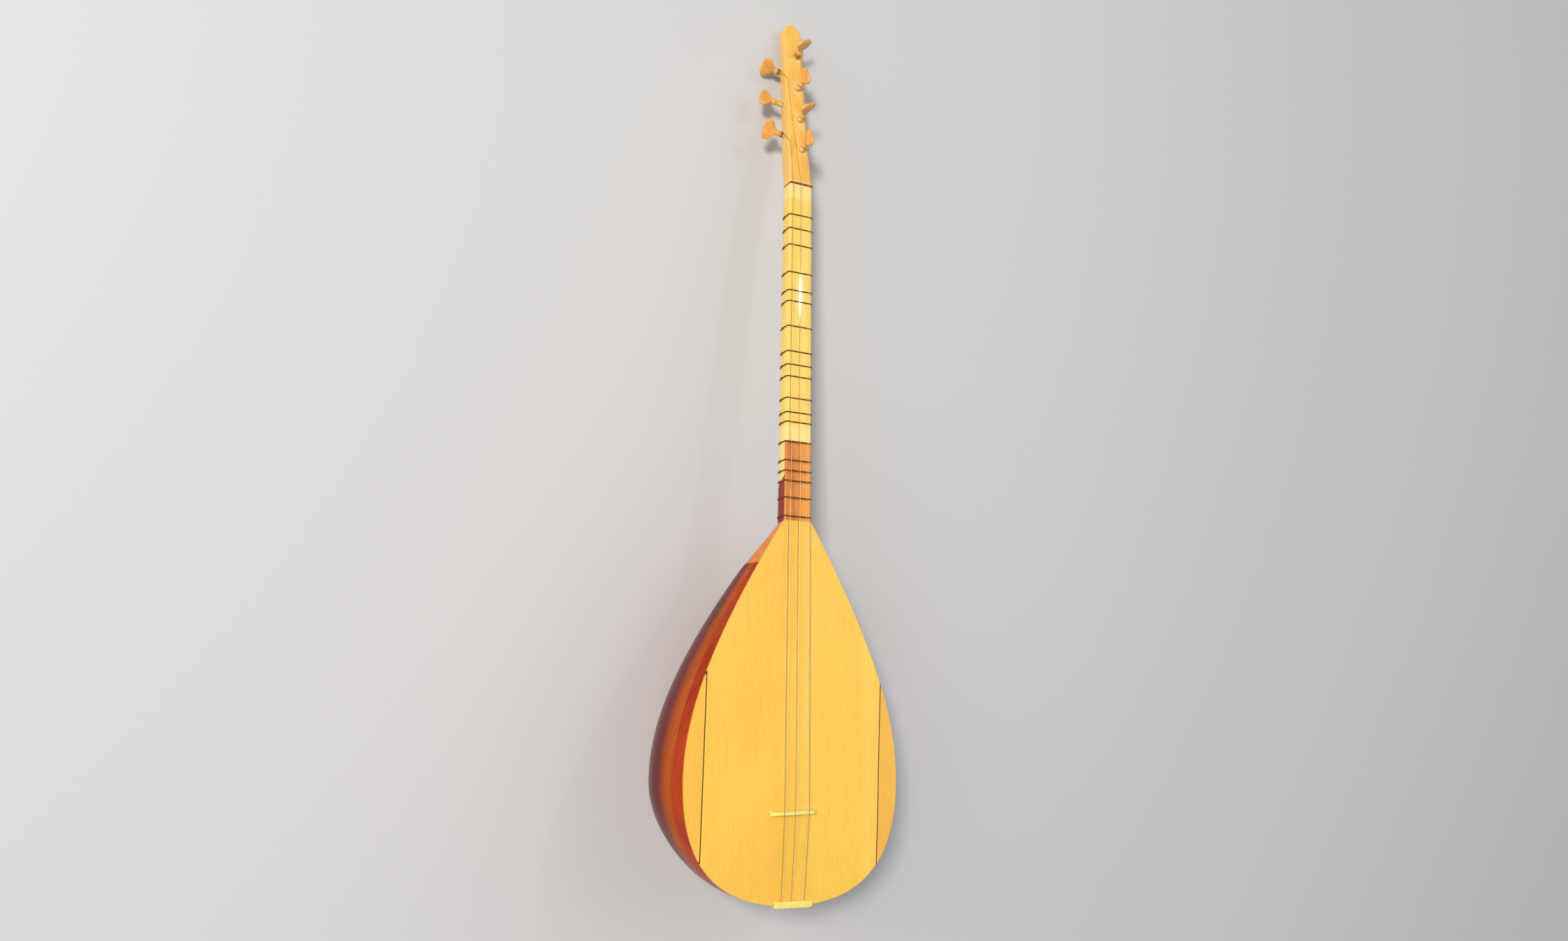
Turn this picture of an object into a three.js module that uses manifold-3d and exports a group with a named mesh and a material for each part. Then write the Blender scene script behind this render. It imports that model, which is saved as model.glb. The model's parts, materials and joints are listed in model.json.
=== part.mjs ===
// Short-neck baglama (saz): a pear-shaped bowl of glued staves under a flat soundboard, a long neck with
// tied frets, and a tilted head with four pegs in its face and three in its side.
//
// Millimetres. The instrument is drawn in its own frame: X across, Y from the tail towards the head, Z out
// of the soundboard, with the bridge line at Y = 0 and the top of the soundboard at Z = 0. The last group
// lays it on its back, so that the bowl and the head touch the floor, with the origin under its middle.

import * as THREE from 'three';
import { mergeVertices } from 'three/addons/utils/BufferGeometryUtils.js';
import Module from 'manifold-3d';

const wasm = await Module();
wasm.setup();

// ---------------------------------------------------------------- driving dimensions

const GAP = 0.3;                    // clearance between touching pieces

const SCALE = 710;                  // bridge line to nut: the sounding string length
const BODY_TOP = 309.4;             // where the soundboard ends and the neck begins
const BODY_TAIL = -90;
const WIDEST = 36.7;                // Y of the widest point of the soundboard
const HALF_WIDTH = 123.6;           // half the width of the soundboard there
const NECK_ROOT_HALF = 16.5;        // half the width of the neck at the body

const BOARD = 4;                    // soundboard thickness
const SEAM_AT = 50;                 // Y at which the X of the two inlaid seams of the soundboard is given
const SEAMS = {                     // they lean to the right towards the head
  left: { x: -103.2, lean: THREE.MathUtils.degToRad(0.53) },
  right: { x: 101.7, lean: THREE.MathUtils.degToRad(1.5) },
};
const SEAM_WIDTH = 1.2;

const BOWL_DEPTH = 156;             // below the rim, at the widest point
const BOWL_BULGE = 0.115;           // how far the bowl swells past the soundboard, as a share of its half-width
const BOWL_FULLNESS = 0.83;         // below 1, the ends of the bowl are deeper than its plan outline alone says
const STAVES = 9;
const RIM_STAVE = 0.065;            // share of the half girth that the narrow stave at each rim takes
const STAVE = 3.5;                  // stave thickness
const STAVE_TOP = 261.7;            // the staves end here, against the neck block
const SOUND_HOLE = 6;               // radius of the hole at the tail end of the middle stave

const NECK_NUT_HALF = 14.75;        // half the width of the neck at the nut
const NECK_LEAN = THREE.MathUtils.degToRad(0.5);
const NECK_SIDE = 15;               // height of the flat side of the neck
const NECK_BELLY_NUT = 11;          // depth of the rounded back under it, at the nut and at the body
const NECK_BELLY_ROOT = 14;
const NECK_EDGE = 2.5;              // radius of the long front edges
const OVERLAY = 3;                  // fingerboard overlay on the lowest frets
const OVERLAY_TOP = 398;
const SPLICE = 362;                 // the light neck is spliced to its dark root here
const SPLICE_SLOPE = THREE.MathUtils.degToRad(35);

const FRET_CENTS = [100, 145, 200, 295, 360, 400, 495, 595, 650, 700,
  795, 860, 905, 1000, 1095, 1150, 1205, 1300, 1410];
const FRET_WIDTH = 1.5;             // two turns of line, side by side
const FRET_HEIGHT = 0.8;

const NUT_LENGTH = 2;
const NUT_HEIGHT = 1.3;             // above the face
const NUT_SLOT = 2.5;               // below the face

const HEAD_TILT = THREE.MathUtils.degToRad(8);
const HEAD_LENGTH = 229;
const HEAD_TIP = 15;                // length of the rounded end
const HEAD_BLUNT = 2.4;             // 2 is an elliptical end, more is blunter
const HEAD_SHOULDER = 40;           // the neck's section turns into the head's within this length
const HEAD_HALF_NUT = 15;           // half the width of the head
const HEAD_HALF_SHOULDER = 13.3;
const HEAD_HALF_TIP = 12.4;
const HEAD_BACK_NUT = 26;           // depth of the head
const HEAD_BACK_TIP = 15;
const HEAD_BELLY = 4;               // depth of the rounded back of the head
const HEAD_EDGE = 4.5;              // radius of its long front edges

const BRIDGE_X = -3;
const BRIDGE_Y = 2;
const BRIDGE_SKEW = THREE.MathUtils.degToRad(1.9);
const BRIDGE_LENGTH = 50;
const BRIDGE_HEIGHT = 8.2;
const BRIDGE_FOOT = 6.5;            // front to back at the soundboard
const BRIDGE_CREST = 3.2;           // front to back at the strings

const HOLDER = { half: 21.5, front: -85, back: -92, top: 2.2 };

const PEG_HOLE = 3.4;
const PEG_SHAFT = 3.05;             // shaft radius at the face of the head
const PEG_POINT = 2.5;              // shaft radius at its thin end
const PEG_COLLAR = 4.2;
const HANDLE_START = 10;            // along the peg, from the wood of the head
const HANDLE_END = 28.3;
const HANDLE_HALF = 12.4;
const HANDLE_THICKNESS = 5;
const FACE_PEG_X = 2;
const FACE_PEG_LEAN = THREE.MathUtils.degToRad(17);   // towards the tip of the head
const FACE_PEG_SWAY = THREE.MathUtils.degToRad(5);    // towards the treble side
const SIDE_PEG_DEPTH = 12.3;        // below the face of the head
const SIDE_PEG_LEAN = THREE.MathUtils.degToRad(14);   // towards the tip
const SIDE_PEG_DROP = THREE.MathUtils.degToRad(5);    // towards the back

// Distance along the head from the nut, how far each handle is turned about its shaft, and how much
// farther than the others the peg stands out of the wood.
const FACE_PEGS = [
  { along: 46.5, turn: 88, pull: 0 },
  { along: 89, turn: 36, pull: 0 },
  { along: 134, turn: 96, pull: 0 },
  { along: 180.5, turn: 36, pull: 0 },
];
const SIDE_PEGS = [
  { along: 72, turn: 27, pull: 0 },
  { along: 115.5, turn: 87, pull: 3 },
  { along: 162.5, turn: -2, pull: -1.2 },
];

const WINDING = { start: 2, end: 5.4, thickness: 1 };

// Seven strings in three courses, from the bass side: X at the bridge and at the nut, and the diameter.
const STRINGS = [
  { bridge: -15.2, nut: -11.6, gauge: 0.9, peg: 'side', index: 0 },
  { bridge: -12.6, nut: -9.4, gauge: 0.45, peg: 'side', index: 1 },
  { bridge: -2.6, nut: -1.2, gauge: 0.7, peg: 'side', index: 2 },
  { bridge: -0.2, nut: 1, gauge: 0.45, peg: 'face', index: 0 },
  { bridge: 9, nut: 8.2, gauge: 0.4, peg: 'face', index: 1 },
  { bridge: 11.3, nut: 10.2, gauge: 0.4, peg: 'face', index: 2 },
  { bridge: 13.6, nut: 12.2, gauge: 0.9, peg: 'face', index: 3 },
];
const STRING_SIDES = 6;
const STRING_AT_HOLDER = 0.9;       // height of the strings where they meet the string holder

const RIM = -BOARD - GAP;           // Z of the top edge of the bowl

// ---------------------------------------------------------------- materials

function material(color, roughness, metalness = 0) {
  return new THREE.MeshStandardMaterial({ color, roughness, metalness });
}

const SPRUCE = material(0xefc878, 0.45);
const DARK_INLAY = material(0x4a2a12, 0.5);
const MAHOGANY = material(0xb24a1e, 0.25);
const WALNUT = material(0x7a4a26, 0.25);
const LIGHT_NECK = material(0xe9c06a, 0.3);
const RED_NECK = material(0x9c2f16, 0.3);
const ORANGE_OVERLAY = material(0xdc8c44, 0.35);
const ORANGE_BLOCK = material(0xe0a050, 0.35);
const PEG_WOOD = material(0xcf9440, 0.45);
const BRIDGE_WOOD = material(0xefd488, 0.5);
const FRET_LINE = material(0x5a2a10, 0.4);
const STEEL = material(0xd8d8d4, 0.25, 1);
const INNER_WOOD = material(0xc9a26a, 0.7);

// ---------------------------------------------------------------- solids

function toSolid(geometry) {
  const bare = geometry.clone();
  bare.deleteAttribute('normal');
  bare.deleteAttribute('uv');
  const merged = mergeVertices(bare, 1e-4);
  return new wasm.Manifold(new wasm.Mesh({
    numProp: 3,
    vertProperties: new Float32Array(merged.attributes.position.array),
    triVerts: new Uint32Array(merged.index.array),
  }));
}

function toGeometry(solid) {
  const mesh = solid.getMesh();
  const geometry = new THREE.BufferGeometry();
  geometry.setAttribute('position', new THREE.BufferAttribute(new Float32Array(mesh.vertProperties), 3));
  geometry.setIndex(new THREE.BufferAttribute(new Uint32Array(mesh.triVerts), 1));
  geometry.computeVertexNormals();
  return geometry;
}

// A closed body through rings that all have the same number of points, listed in the same direction.
// Each ring is flat enough for its own outline to be filled where it ends the body.
function loft(rings) {
  const count = rings[0].length;
  const triangles = [];
  for (let r = 0; r + 1 < rings.length; r += 1) {
    for (let i = 0; i < count; i += 1) {
      const j = (i + 1) % count;
      const [a, b] = [r * count + i, r * count + j];
      const [c, d] = [a + count, b + count];
      triangles.push(a, b, d, a, d, c);
    }
  }
  const last = (rings.length - 1) * count;
  for (const [a, b, c] of fillRing(rings[0])) triangles.push(a, c, b);
  for (const [a, b, c] of fillRing(rings[rings.length - 1])) triangles.push(last + a, last + b, last + c);

  const geometry = new THREE.BufferGeometry();
  geometry.setAttribute('position', new THREE.Float32BufferAttribute(
    rings.flat().flatMap((p) => [p.x, p.y, p.z]), 3));
  geometry.setIndex(triangles);
  if (signedVolume(geometry) < 0) {
    for (let i = 0; i < triangles.length; i += 3) {
      [triangles[i + 1], triangles[i + 2]] = [triangles[i + 2], triangles[i + 1]];
    }
    geometry.setIndex(triangles);
  }
  geometry.computeVertexNormals();
  return geometry;
}

function fillRing(ring) {
  const normal = new THREE.Vector3();
  ring.forEach((p, i) => {
    const q = ring[(i + 1) % ring.length];
    normal.add(new THREE.Vector3().crossVectors(p, q));
  });
  normal.normalize();
  const upright = new THREE.Quaternion().setFromUnitVectors(normal, new THREE.Vector3(0, 0, 1));
  const flat = ring.map((p) => {
    const q = p.clone().applyQuaternion(upright);
    return new THREE.Vector2(q.x, q.y);
  });
  return THREE.ShapeUtils.triangulateShape(flat, []);
}

function signedVolume(geometry) {
  const position = geometry.attributes.position;
  const corner = (i) => new THREE.Vector3().fromBufferAttribute(position, geometry.index.getX(i));
  let six = 0;
  for (let i = 0; i < geometry.index.count; i += 3) {
    six += corner(i).dot(corner(i + 1).cross(corner(i + 2)));
  }
  return six;
}

function block(x0, x1, y0, y1, z0, z1) {
  const geometry = new THREE.BoxGeometry(x1 - x0, y1 - y0, z1 - z0);
  geometry.translate((x0 + x1) / 2, (y0 + y1) / 2, (z0 + z1) / 2);
  return toSolid(geometry);
}

function piece(name, shape, look, parent) {
  const geometry = shape.isBufferGeometry ? shape : toGeometry(shape);
  const mesh = new THREE.Mesh(geometry, look);
  mesh.name = name;
  parent.add(mesh);
  return mesh;
}

const FAR = 1000;                   // larger than the instrument, for cutting blocks

// ---------------------------------------------------------------- outline of the body

const SHOULDER = new THREE.CubicBezierCurve(
  new THREE.Vector2(NECK_ROOT_HALF, BODY_TOP), new THREE.Vector2(94, 182),
  new THREE.Vector2(HALF_WIDTH, 104), new THREE.Vector2(HALF_WIDTH, WIDEST));
const TAIL = new THREE.CubicBezierCurve(
  new THREE.Vector2(HALF_WIDTH, WIDEST), new THREE.Vector2(HALF_WIDTH, -50.7),
  new THREE.Vector2(81.8, BODY_TAIL), new THREE.Vector2(0, BODY_TAIL));

// t runs from 0 at the neck, through 1 at the widest point, to 2 at the tail.
function outlineAt(t) {
  return t < 1 ? SHOULDER.getPoint(t) : TAIL.getPoint(t - 1);
}

function parameterAtY(y) {
  let [low, high] = [0, 2];
  for (let i = 0; i < 50; i += 1) {
    const middle = (low + high) / 2;
    if (outlineAt(middle).y > y) low = middle;
    else high = middle;
  }
  return low;
}

function soundboardShape() {
  const shape = new THREE.Shape();
  shape.moveTo(NECK_ROOT_HALF, BODY_TOP);
  shape.bezierCurveTo(...SHOULDER.v1, ...SHOULDER.v2, ...SHOULDER.v3);
  shape.bezierCurveTo(...TAIL.v1, ...TAIL.v2, ...TAIL.v3);
  shape.bezierCurveTo(-TAIL.v2.x, TAIL.v2.y, -TAIL.v1.x, TAIL.v1.y, -HALF_WIDTH, WIDEST);
  shape.bezierCurveTo(-SHOULDER.v2.x, SHOULDER.v2.y, -SHOULDER.v1.x, SHOULDER.v1.y,
    -NECK_ROOT_HALF, BODY_TOP);
  shape.closePath();
  return shape;
}

// ---------------------------------------------------------------- surface of the bowl

// The cross-section at t: the lower part of an ellipse, cut off at the rim.
function section(t) {
  const { x: half, y } = outlineAt(t);
  const swell = THREE.MathUtils.smoothstep(y, -80, 30) * (1 - THREE.MathUtils.smoothstep(y, 255, 310));
  const bulge = 1 + BOWL_BULGE * swell;
  const depth = BOWL_DEPTH * (half / HALF_WIDTH) ** BOWL_FULLNESS;
  const lift = Math.sqrt(1 - 1 / bulge ** 2);
  const down = depth / (1 + lift);
  return { y, across: bulge * half, down, centre: RIM - lift * down, rim: Math.PI / 2 + Math.asin(lift) };
}

// girth runs from -1 at the left rim, through 0 at the middle of the back, to 1 at the right rim.
function bowlSurface(t, girth) {
  const s = section(t);
  const angle = girth * s.rim;
  return new THREE.Vector3(s.across * Math.sin(angle), s.y, s.centre - s.down * Math.cos(angle));
}

function bowlPoint(t, girth, inset) {
  const step = 1e-3;
  const along = bowlSurface(t + step, girth).sub(bowlSurface(t - step, girth));
  const around = bowlSurface(t, girth + step).sub(bowlSurface(t, girth - step));
  const inward = new THREE.Vector3().crossVectors(around, along).normalize();
  if (Math.abs(girth) > 1 - step) inward.setZ(0).normalize();
  const point = bowlSurface(t, girth);
  if (inward.dot(new THREE.Vector3(0, WIDEST, RIM).sub(point)) < 0) inward.negate();
  return point.addScaledVector(inward, inset);
}

const STAVE_START = parameterAtY(STAVE_TOP);
const STAVE_END = 1.965;

function stations(from, to, steps) {
  return Array.from({ length: steps + 1 }, (_, i) => from + (to - from) * (i / steps));
}

// The space inside the bowl, or the bowl's own volume for an inset of 0, between two stations.
function bowlVolume(inset, from, to, steps) {
  const around = stations(-1, 1, 14);
  return toSolid(loft(stations(from, to, steps).map((t) => around.map((g) => bowlPoint(t, g, inset)))));
}

function staveEdges(index) {
  const full = (2 - 2 * RIM_STAVE) / (STAVES - 2);
  const edge = (k) => {
    if (k === 0) return -1;
    return k === STAVES ? 1 : -1 + RIM_STAVE + (k - 1) * full;
  };
  return [edge(index), edge(index + 1)];
}

function stave(index) {
  const [left, right] = staveEdges(index);
  const flat = index === (STAVES - 1) / 2;
  const rings = stations(STAVE_START, STAVE_END, 20).map((t) => {
    const s = section(t);
    const half = GAP / (s.across + s.down) / s.rim;
    const a = index === 0 ? left : left + half;
    const b = index === STAVES - 1 ? right : right - half;
    const girths = flat ? [a, b] : [a, (a + b) / 2, b];
    return [...girths.map((g) => bowlPoint(t, g, 0)), ...girths.reverse().map((g) => bowlPoint(t, g, STAVE))];
  });
  return toSolid(loft(rings));
}

// ---------------------------------------------------------------- neck and head sections

// Half of the outline is a straight side between a small front radius and a half-elliptical back.
function neckOutline(half, edge, side, belly) {
  const arc = (cx, cy, rx, ry, from, to, steps) => stations(from, to, steps).map((degrees) => {
    const angle = THREE.MathUtils.degToRad(degrees);
    return new THREE.Vector2(cx + rx * Math.cos(angle), cy + ry * Math.sin(angle));
  });
  return [
    ...arc(half - edge, -edge, edge, edge, 90, 0, 2),
    ...arc(0, -side, half, belly, 0, -180, 7),
    ...arc(edge - half, -edge, edge, edge, 180, 90, 2),
  ];
}

function neckAt(y, grow = 0) {
  const share = (y - BODY_TOP) / (SCALE - BODY_TOP);
  const half = THREE.MathUtils.lerp(NECK_ROOT_HALF, NECK_NUT_HALF, share) + grow;
  const belly = THREE.MathUtils.lerp(NECK_BELLY_ROOT, NECK_BELLY_NUT, share) + grow;
  return neckOutline(half, NECK_EDGE + grow, NECK_SIDE + grow, belly).map((p) => p.setY(p.y + grow));
}

function faceHeight(y) {
  return -(y - BODY_TOP) * Math.tan(NECK_LEAN);
}

function ringAt(outline, y, z) {
  return outline.map((p) => new THREE.Vector3(p.x, y, z + p.y));
}

// ---------------------------------------------------------------- soundboard

function buildSoundboard(parent) {
  const whole = toSolid(new THREE.ExtrudeGeometry(soundboardShape(),
    { depth: BOARD, bevelEnabled: false, curveSegments: 16 }).translate(0, 0, -BOARD));
  const notch = block(-HOLDER.half - GAP, HOLDER.half + GAP, -FAR, HOLDER.front + GAP, -FAR, FAR);
  const board = whole.subtract(notch);
  const rightOf = (seam, offset) => {
    const half = new THREE.BoxGeometry(FAR, 2 * FAR, FAR).translate(FAR / 2 + offset, 0, 0);
    return toSolid(half.rotateZ(-seam.lean).translate(seam.x, SEAM_AT, 0));
  };
  const { left, right } = SEAMS;
  const strip = SEAM_WIDTH / 2;
  const clear = strip + GAP;
  const center = board.intersect(rightOf(left, clear)).subtract(rightOf(right, -clear));
  const inlay = (seam) => board.intersect(rightOf(seam, -strip)).subtract(rightOf(seam, strip));
  piece('soundboard_center', center, SPRUCE, parent);
  piece('soundboard_wing_left', board.subtract(rightOf(left, -clear)), SPRUCE, parent);
  piece('soundboard_wing_right', board.intersect(rightOf(right, clear)), SPRUCE, parent);
  piece('soundboard_inlay_left', inlay(left), DARK_INLAY, parent);
  piece('soundboard_inlay_right', inlay(right), DARK_INLAY, parent);
}

// ---------------------------------------------------------------- bowl

function buildBowl(parent) {
  const hole = new THREE.CylinderGeometry(SOUND_HOLE, SOUND_HOLE, 60, 20);
  hole.translate(0, -85, bowlSurface(1.74, 0).z);
  for (let i = 0; i < STAVES; i += 1) {
    const solid = stave(i);
    const middle = i === (STAVES - 1) / 2;
    piece(`bowl_stave_${i + 1}`, middle ? solid.subtract(toSolid(hole)) : solid,
      i % 2 === 0 ? MAHOGANY : WALNUT, parent);
  }
}

// ---------------------------------------------------------------- inside the body

const BLOCK_REACH = 240;            // how far down the neck block goes inside the bowl
const BLOCK_DEPTH = 40;
const GLUE = 1;                     // room between the round inner pieces and the flatter staves
const TAIL_BLOCK_TOP = -70;
const TAIL_BLOCK_HALF = 30;
const LINING = { width: 5, height: 7 };
const BRACES = [128, -24];
const BRACE = { width: 7, height: 11 };

function buildInside(parent) {
  const inside = STAVE + GLUE;
  const [first, last] = [parameterAtY(STAVE_TOP + 4), STAVE_END];
  const hollow = bowlVolume(inside, first, last, 22);
  const nose = bowlVolume(0, 0.002, parameterAtY(STAVE_TOP + GAP), 6);
  const tenon = hollow.intersect(block(-FAR, FAR, BLOCK_REACH, STAVE_TOP + 1, -BLOCK_DEPTH, RIM));
  piece('neck_block', nose.add(tenon), ORANGE_BLOCK, parent);
  const tail = block(-TAIL_BLOCK_HALF, TAIL_BLOCK_HALF, -FAR, TAIL_BLOCK_TOP, -BLOCK_DEPTH, RIM);
  piece('tail_block', hollow.intersect(tail), INNER_WOOD, parent);

  const core = bowlVolume(inside + LINING.width, first, last, 22);
  const ring = hollow.subtract(core).intersect(
    block(-FAR, FAR, TAIL_BLOCK_TOP + GAP, BLOCK_REACH - GAP, RIM - LINING.height, FAR));
  piece('rim_lining_left', ring.intersect(block(-FAR, -1, -FAR, FAR, -FAR, FAR)), INNER_WOOD, parent);
  piece('rim_lining_right', ring.intersect(block(1, FAR, -FAR, FAR, -FAR, FAR)), INNER_WOOD, parent);

  const clear = bowlVolume(inside + LINING.width + GAP, first, last, 22);
  BRACES.forEach((y, i) => {
    const bar = block(-FAR, FAR, y - BRACE.width / 2, y + BRACE.width / 2, RIM - BRACE.height, RIM);
    piece(`soundboard_brace_${i + 1}`, clear.intersect(bar), INNER_WOOD, parent);
  });
}

// ---------------------------------------------------------------- neck

function buildNeck(parent) {
  const low = BODY_TOP + GAP;
  const high = SCALE - NUT_LENGTH / 2 - GAP;
  const neck = toSolid(loft([low, high].map((y) => ringAt(neckAt(y), y, faceHeight(y)))));

  const aboveFace = (depth, y1) => {
    const slab = new THREE.BoxGeometry(FAR, FAR, FAR);
    slab.translate(0, 0, FAR / 2 - depth);
    slab.rotateX(-NECK_LEAN);
    slab.translate(0, BODY_TOP, 0);
    return toSolid(slab).intersect(block(-FAR, FAR, -FAR, y1, -FAR, FAR));
  };
  const beyondSplice = (offset) => {
    const half = new THREE.BoxGeometry(FAR, FAR, FAR);
    half.translate(0, FAR / 2 + offset, 0);
    half.rotateX(-SPLICE_SLOPE);
    half.translate(0, SPLICE, 0);
    return toSolid(half);
  };

  piece('fingerboard_overlay', neck.intersect(aboveFace(OVERLAY, OVERLAY_TOP)), ORANGE_OVERLAY, parent);
  const under = neck.subtract(aboveFace(OVERLAY + GAP, OVERLAY_TOP + GAP));
  piece('neck_shaft', under.intersect(beyondSplice(GAP / 2)), LIGHT_NECK, parent);
  piece('neck_root', under.subtract(beyondSplice(-GAP / 2)), RED_NECK, parent);
}

function buildNut(parent) {
  const half = NECK_NUT_HALF - 0.4;
  const nut = block(-half, half, SCALE - NUT_LENGTH / 2, SCALE + NUT_LENGTH / 2, -NUT_SLOT, NUT_HEIGHT);
  piece('nut', nut, DARK_INLAY, parent).position.z = faceHeight(SCALE);
}

// A flat ring that follows the neck all the way round.
function buildFrets(parent) {
  FRET_CENTS.forEach((cents, i) => {
    const y = SCALE / 2 ** (cents / 1200);
    const widest = y - 5;
    const slice = (grow, thickness) => toSolid(loft([-thickness / 2, thickness / 2].map(
      (offset) => ringAt(neckAt(widest, grow), y + offset, faceHeight(y)))));
    const ring = slice(GAP + FRET_HEIGHT, FRET_WIDTH).subtract(slice(GAP, 2 * FRET_WIDTH));
    piece(`fret_${String(i + 1).padStart(2, '0')}`, ring, FRET_LINE, parent);
  });
}

// ---------------------------------------------------------------- head and pegs

// 0 at the nut, where the head still has the section of the neck, to 1 where it has its own.
function headShare(along) {
  return THREE.MathUtils.smoothstep(along, 0, HEAD_SHOULDER);
}

function headHalf(along) {
  const { lerp } = THREE.MathUtils;
  const beyond = Math.max(0, (along - HEAD_SHOULDER) / (HEAD_LENGTH - HEAD_SHOULDER));
  const slim = lerp(HEAD_HALF_SHOULDER, HEAD_HALF_TIP, beyond);
  const into = Math.max(0, (along - (HEAD_LENGTH - HEAD_TIP)) / HEAD_TIP);
  return lerp(HEAD_HALF_NUT, slim, headShare(along)) * (1 - into ** HEAD_BLUNT) ** (1 / HEAD_BLUNT);
}

function headBack(along) {
  return THREE.MathUtils.lerp(HEAD_BACK_NUT, HEAD_BACK_TIP, Math.min(1, along / HEAD_LENGTH));
}

function headSolid() {
  const tip = [0, 0.33, 0.58, 0.79, 0.93, 0.985].map((share) => HEAD_LENGTH - HEAD_TIP * (1 - share));
  const lengths = [NUT_LENGTH / 2 + GAP, 10, 20, 30, HEAD_SHOULDER, ...tip];
  const { lerp } = THREE.MathUtils;
  const rings = lengths.map((along) => {
    const half = headHalf(along);
    const share = headShare(along);
    const belly = lerp(NECK_BELLY_NUT, HEAD_BELLY, share) * Math.min(1, half / HEAD_HALF_TIP + 0.2);
    const edge = Math.min(lerp(NECK_EDGE, HEAD_EDGE, share), half * 0.8);
    return ringAt(neckOutline(half, edge, headBack(along) - belly, belly), along, 0);
  });
  // The first ring stands square to the neck.
  rings[0].forEach((p) => p.setY(p.y - p.z * Math.tan(HEAD_TILT)));
  return toSolid(loft(rings));
}

// A peg points along +Z, with Z = 0 where it leaves the wood of the head.
function pegSolid(reach) {
  const profile = [[0, -reach], [PEG_POINT, -reach], [PEG_SHAFT, 0], [PEG_SHAFT, HANDLE_START - 2.5],
    [PEG_COLLAR, HANDLE_START - 0.5], [PEG_COLLAR, HANDLE_START + 1], [0, HANDLE_START + 3]];
  const shaft = new THREE.LatheGeometry(profile.map(([x, y]) => new THREE.Vector2(x, y)), 12);
  shaft.rotateX(Math.PI / 2);
  return toSolid(shaft).add(toSolid(handleGeometry()));
}

// A flat fan with rounded corners and a shallow dip in its end.
function handleGeometry() {
  const [start, end, half] = [HANDLE_START, HANDLE_END, HANDLE_HALF];
  const bevel = 1.2;
  const fan = new THREE.Shape();
  const side = (sign) => [
    [sign * 3, start + 4, sign * half, end - 13.5, sign * half, end - 7],
    [sign * half, end - 1.5, sign * half * 0.45, end + 1, 0, end - 1.2 - bevel],
  ];
  fan.moveTo(2.2, start);
  fan.bezierCurveTo(...side(1)[0]);
  fan.bezierCurveTo(...side(1)[1]);
  const [outer, top] = side(-1);
  fan.bezierCurveTo(top[2], top[3], top[0], top[1], outer[4], outer[5]);
  fan.bezierCurveTo(outer[2], outer[3], outer[0], outer[1], -2.2, start);
  fan.closePath();
  const geometry = new THREE.ExtrudeGeometry(fan, {
    depth: HANDLE_THICKNESS - 2 * bevel, curveSegments: 5,
    bevelThickness: bevel, bevelSize: bevel, bevelOffset: -bevel, bevelSegments: 1,
  });
  geometry.translate(0, 0, bevel - HANDLE_THICKNESS / 2);
  geometry.rotateX(Math.PI / 2);
  return geometry;
}

// Where a peg leaves the head, which way it points, and how far it reaches into the wood.
function pegPlace(kind, along) {
  if (kind === 'face') {
    const out = new THREE.Vector3(Math.sin(FACE_PEG_SWAY), Math.sin(FACE_PEG_LEAN), Math.cos(FACE_PEG_LEAN));
    out.normalize();
    return { at: new THREE.Vector3(FACE_PEG_X, along, 0), out, reach: headBack(along) / out.z - 2.5 };
  }
  const out = new THREE.Vector3(-Math.cos(SIDE_PEG_LEAN), Math.sin(SIDE_PEG_LEAN), -Math.sin(SIDE_PEG_DROP));
  out.normalize();
  const half = headHalf(along);
  return { at: new THREE.Vector3(-half, along, -SIDE_PEG_DEPTH), out, reach: 2 * half / -out.x - 1.5 };
}

function towards(out, degrees) {
  const turn = new THREE.Quaternion().setFromAxisAngle(new THREE.Vector3(0, 0, 1),
    THREE.MathUtils.degToRad(degrees));
  return new THREE.Quaternion().setFromUnitVectors(new THREE.Vector3(0, 0, 1), out).multiply(turn);
}

function onPeg(geometry, place) {
  return geometry.applyQuaternion(towards(place.out, 0)).translate(...place.at);
}

function buildHead(parent) {
  const pegs = [
    ...FACE_PEGS.map((peg, i) => ({ ...peg, kind: 'face', name: `face_peg_${i + 1}` })),
    ...SIDE_PEGS.map((peg, i) => ({ ...peg, kind: 'side', name: `side_peg_${i + 1}` })),
  ];
  let wood = headSolid();
  for (const peg of pegs) {
    const place = pegPlace(peg.kind, peg.along);
    const bore = new THREE.CylinderGeometry(PEG_HOLE, PEG_HOLE, 100, 12).rotateX(Math.PI / 2);
    wood = wood.subtract(toSolid(onPeg(bore, place)));
    const mesh = piece(peg.name, pegSolid(place.reach), PEG_WOOD, parent);
    mesh.position.copy(place.at).addScaledVector(place.out, peg.pull);
    mesh.quaternion.copy(towards(place.out, peg.turn));
  }
  piece('peghead', wood, LIGHT_NECK, parent);
}

// ---------------------------------------------------------------- bridge and string holder

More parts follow.
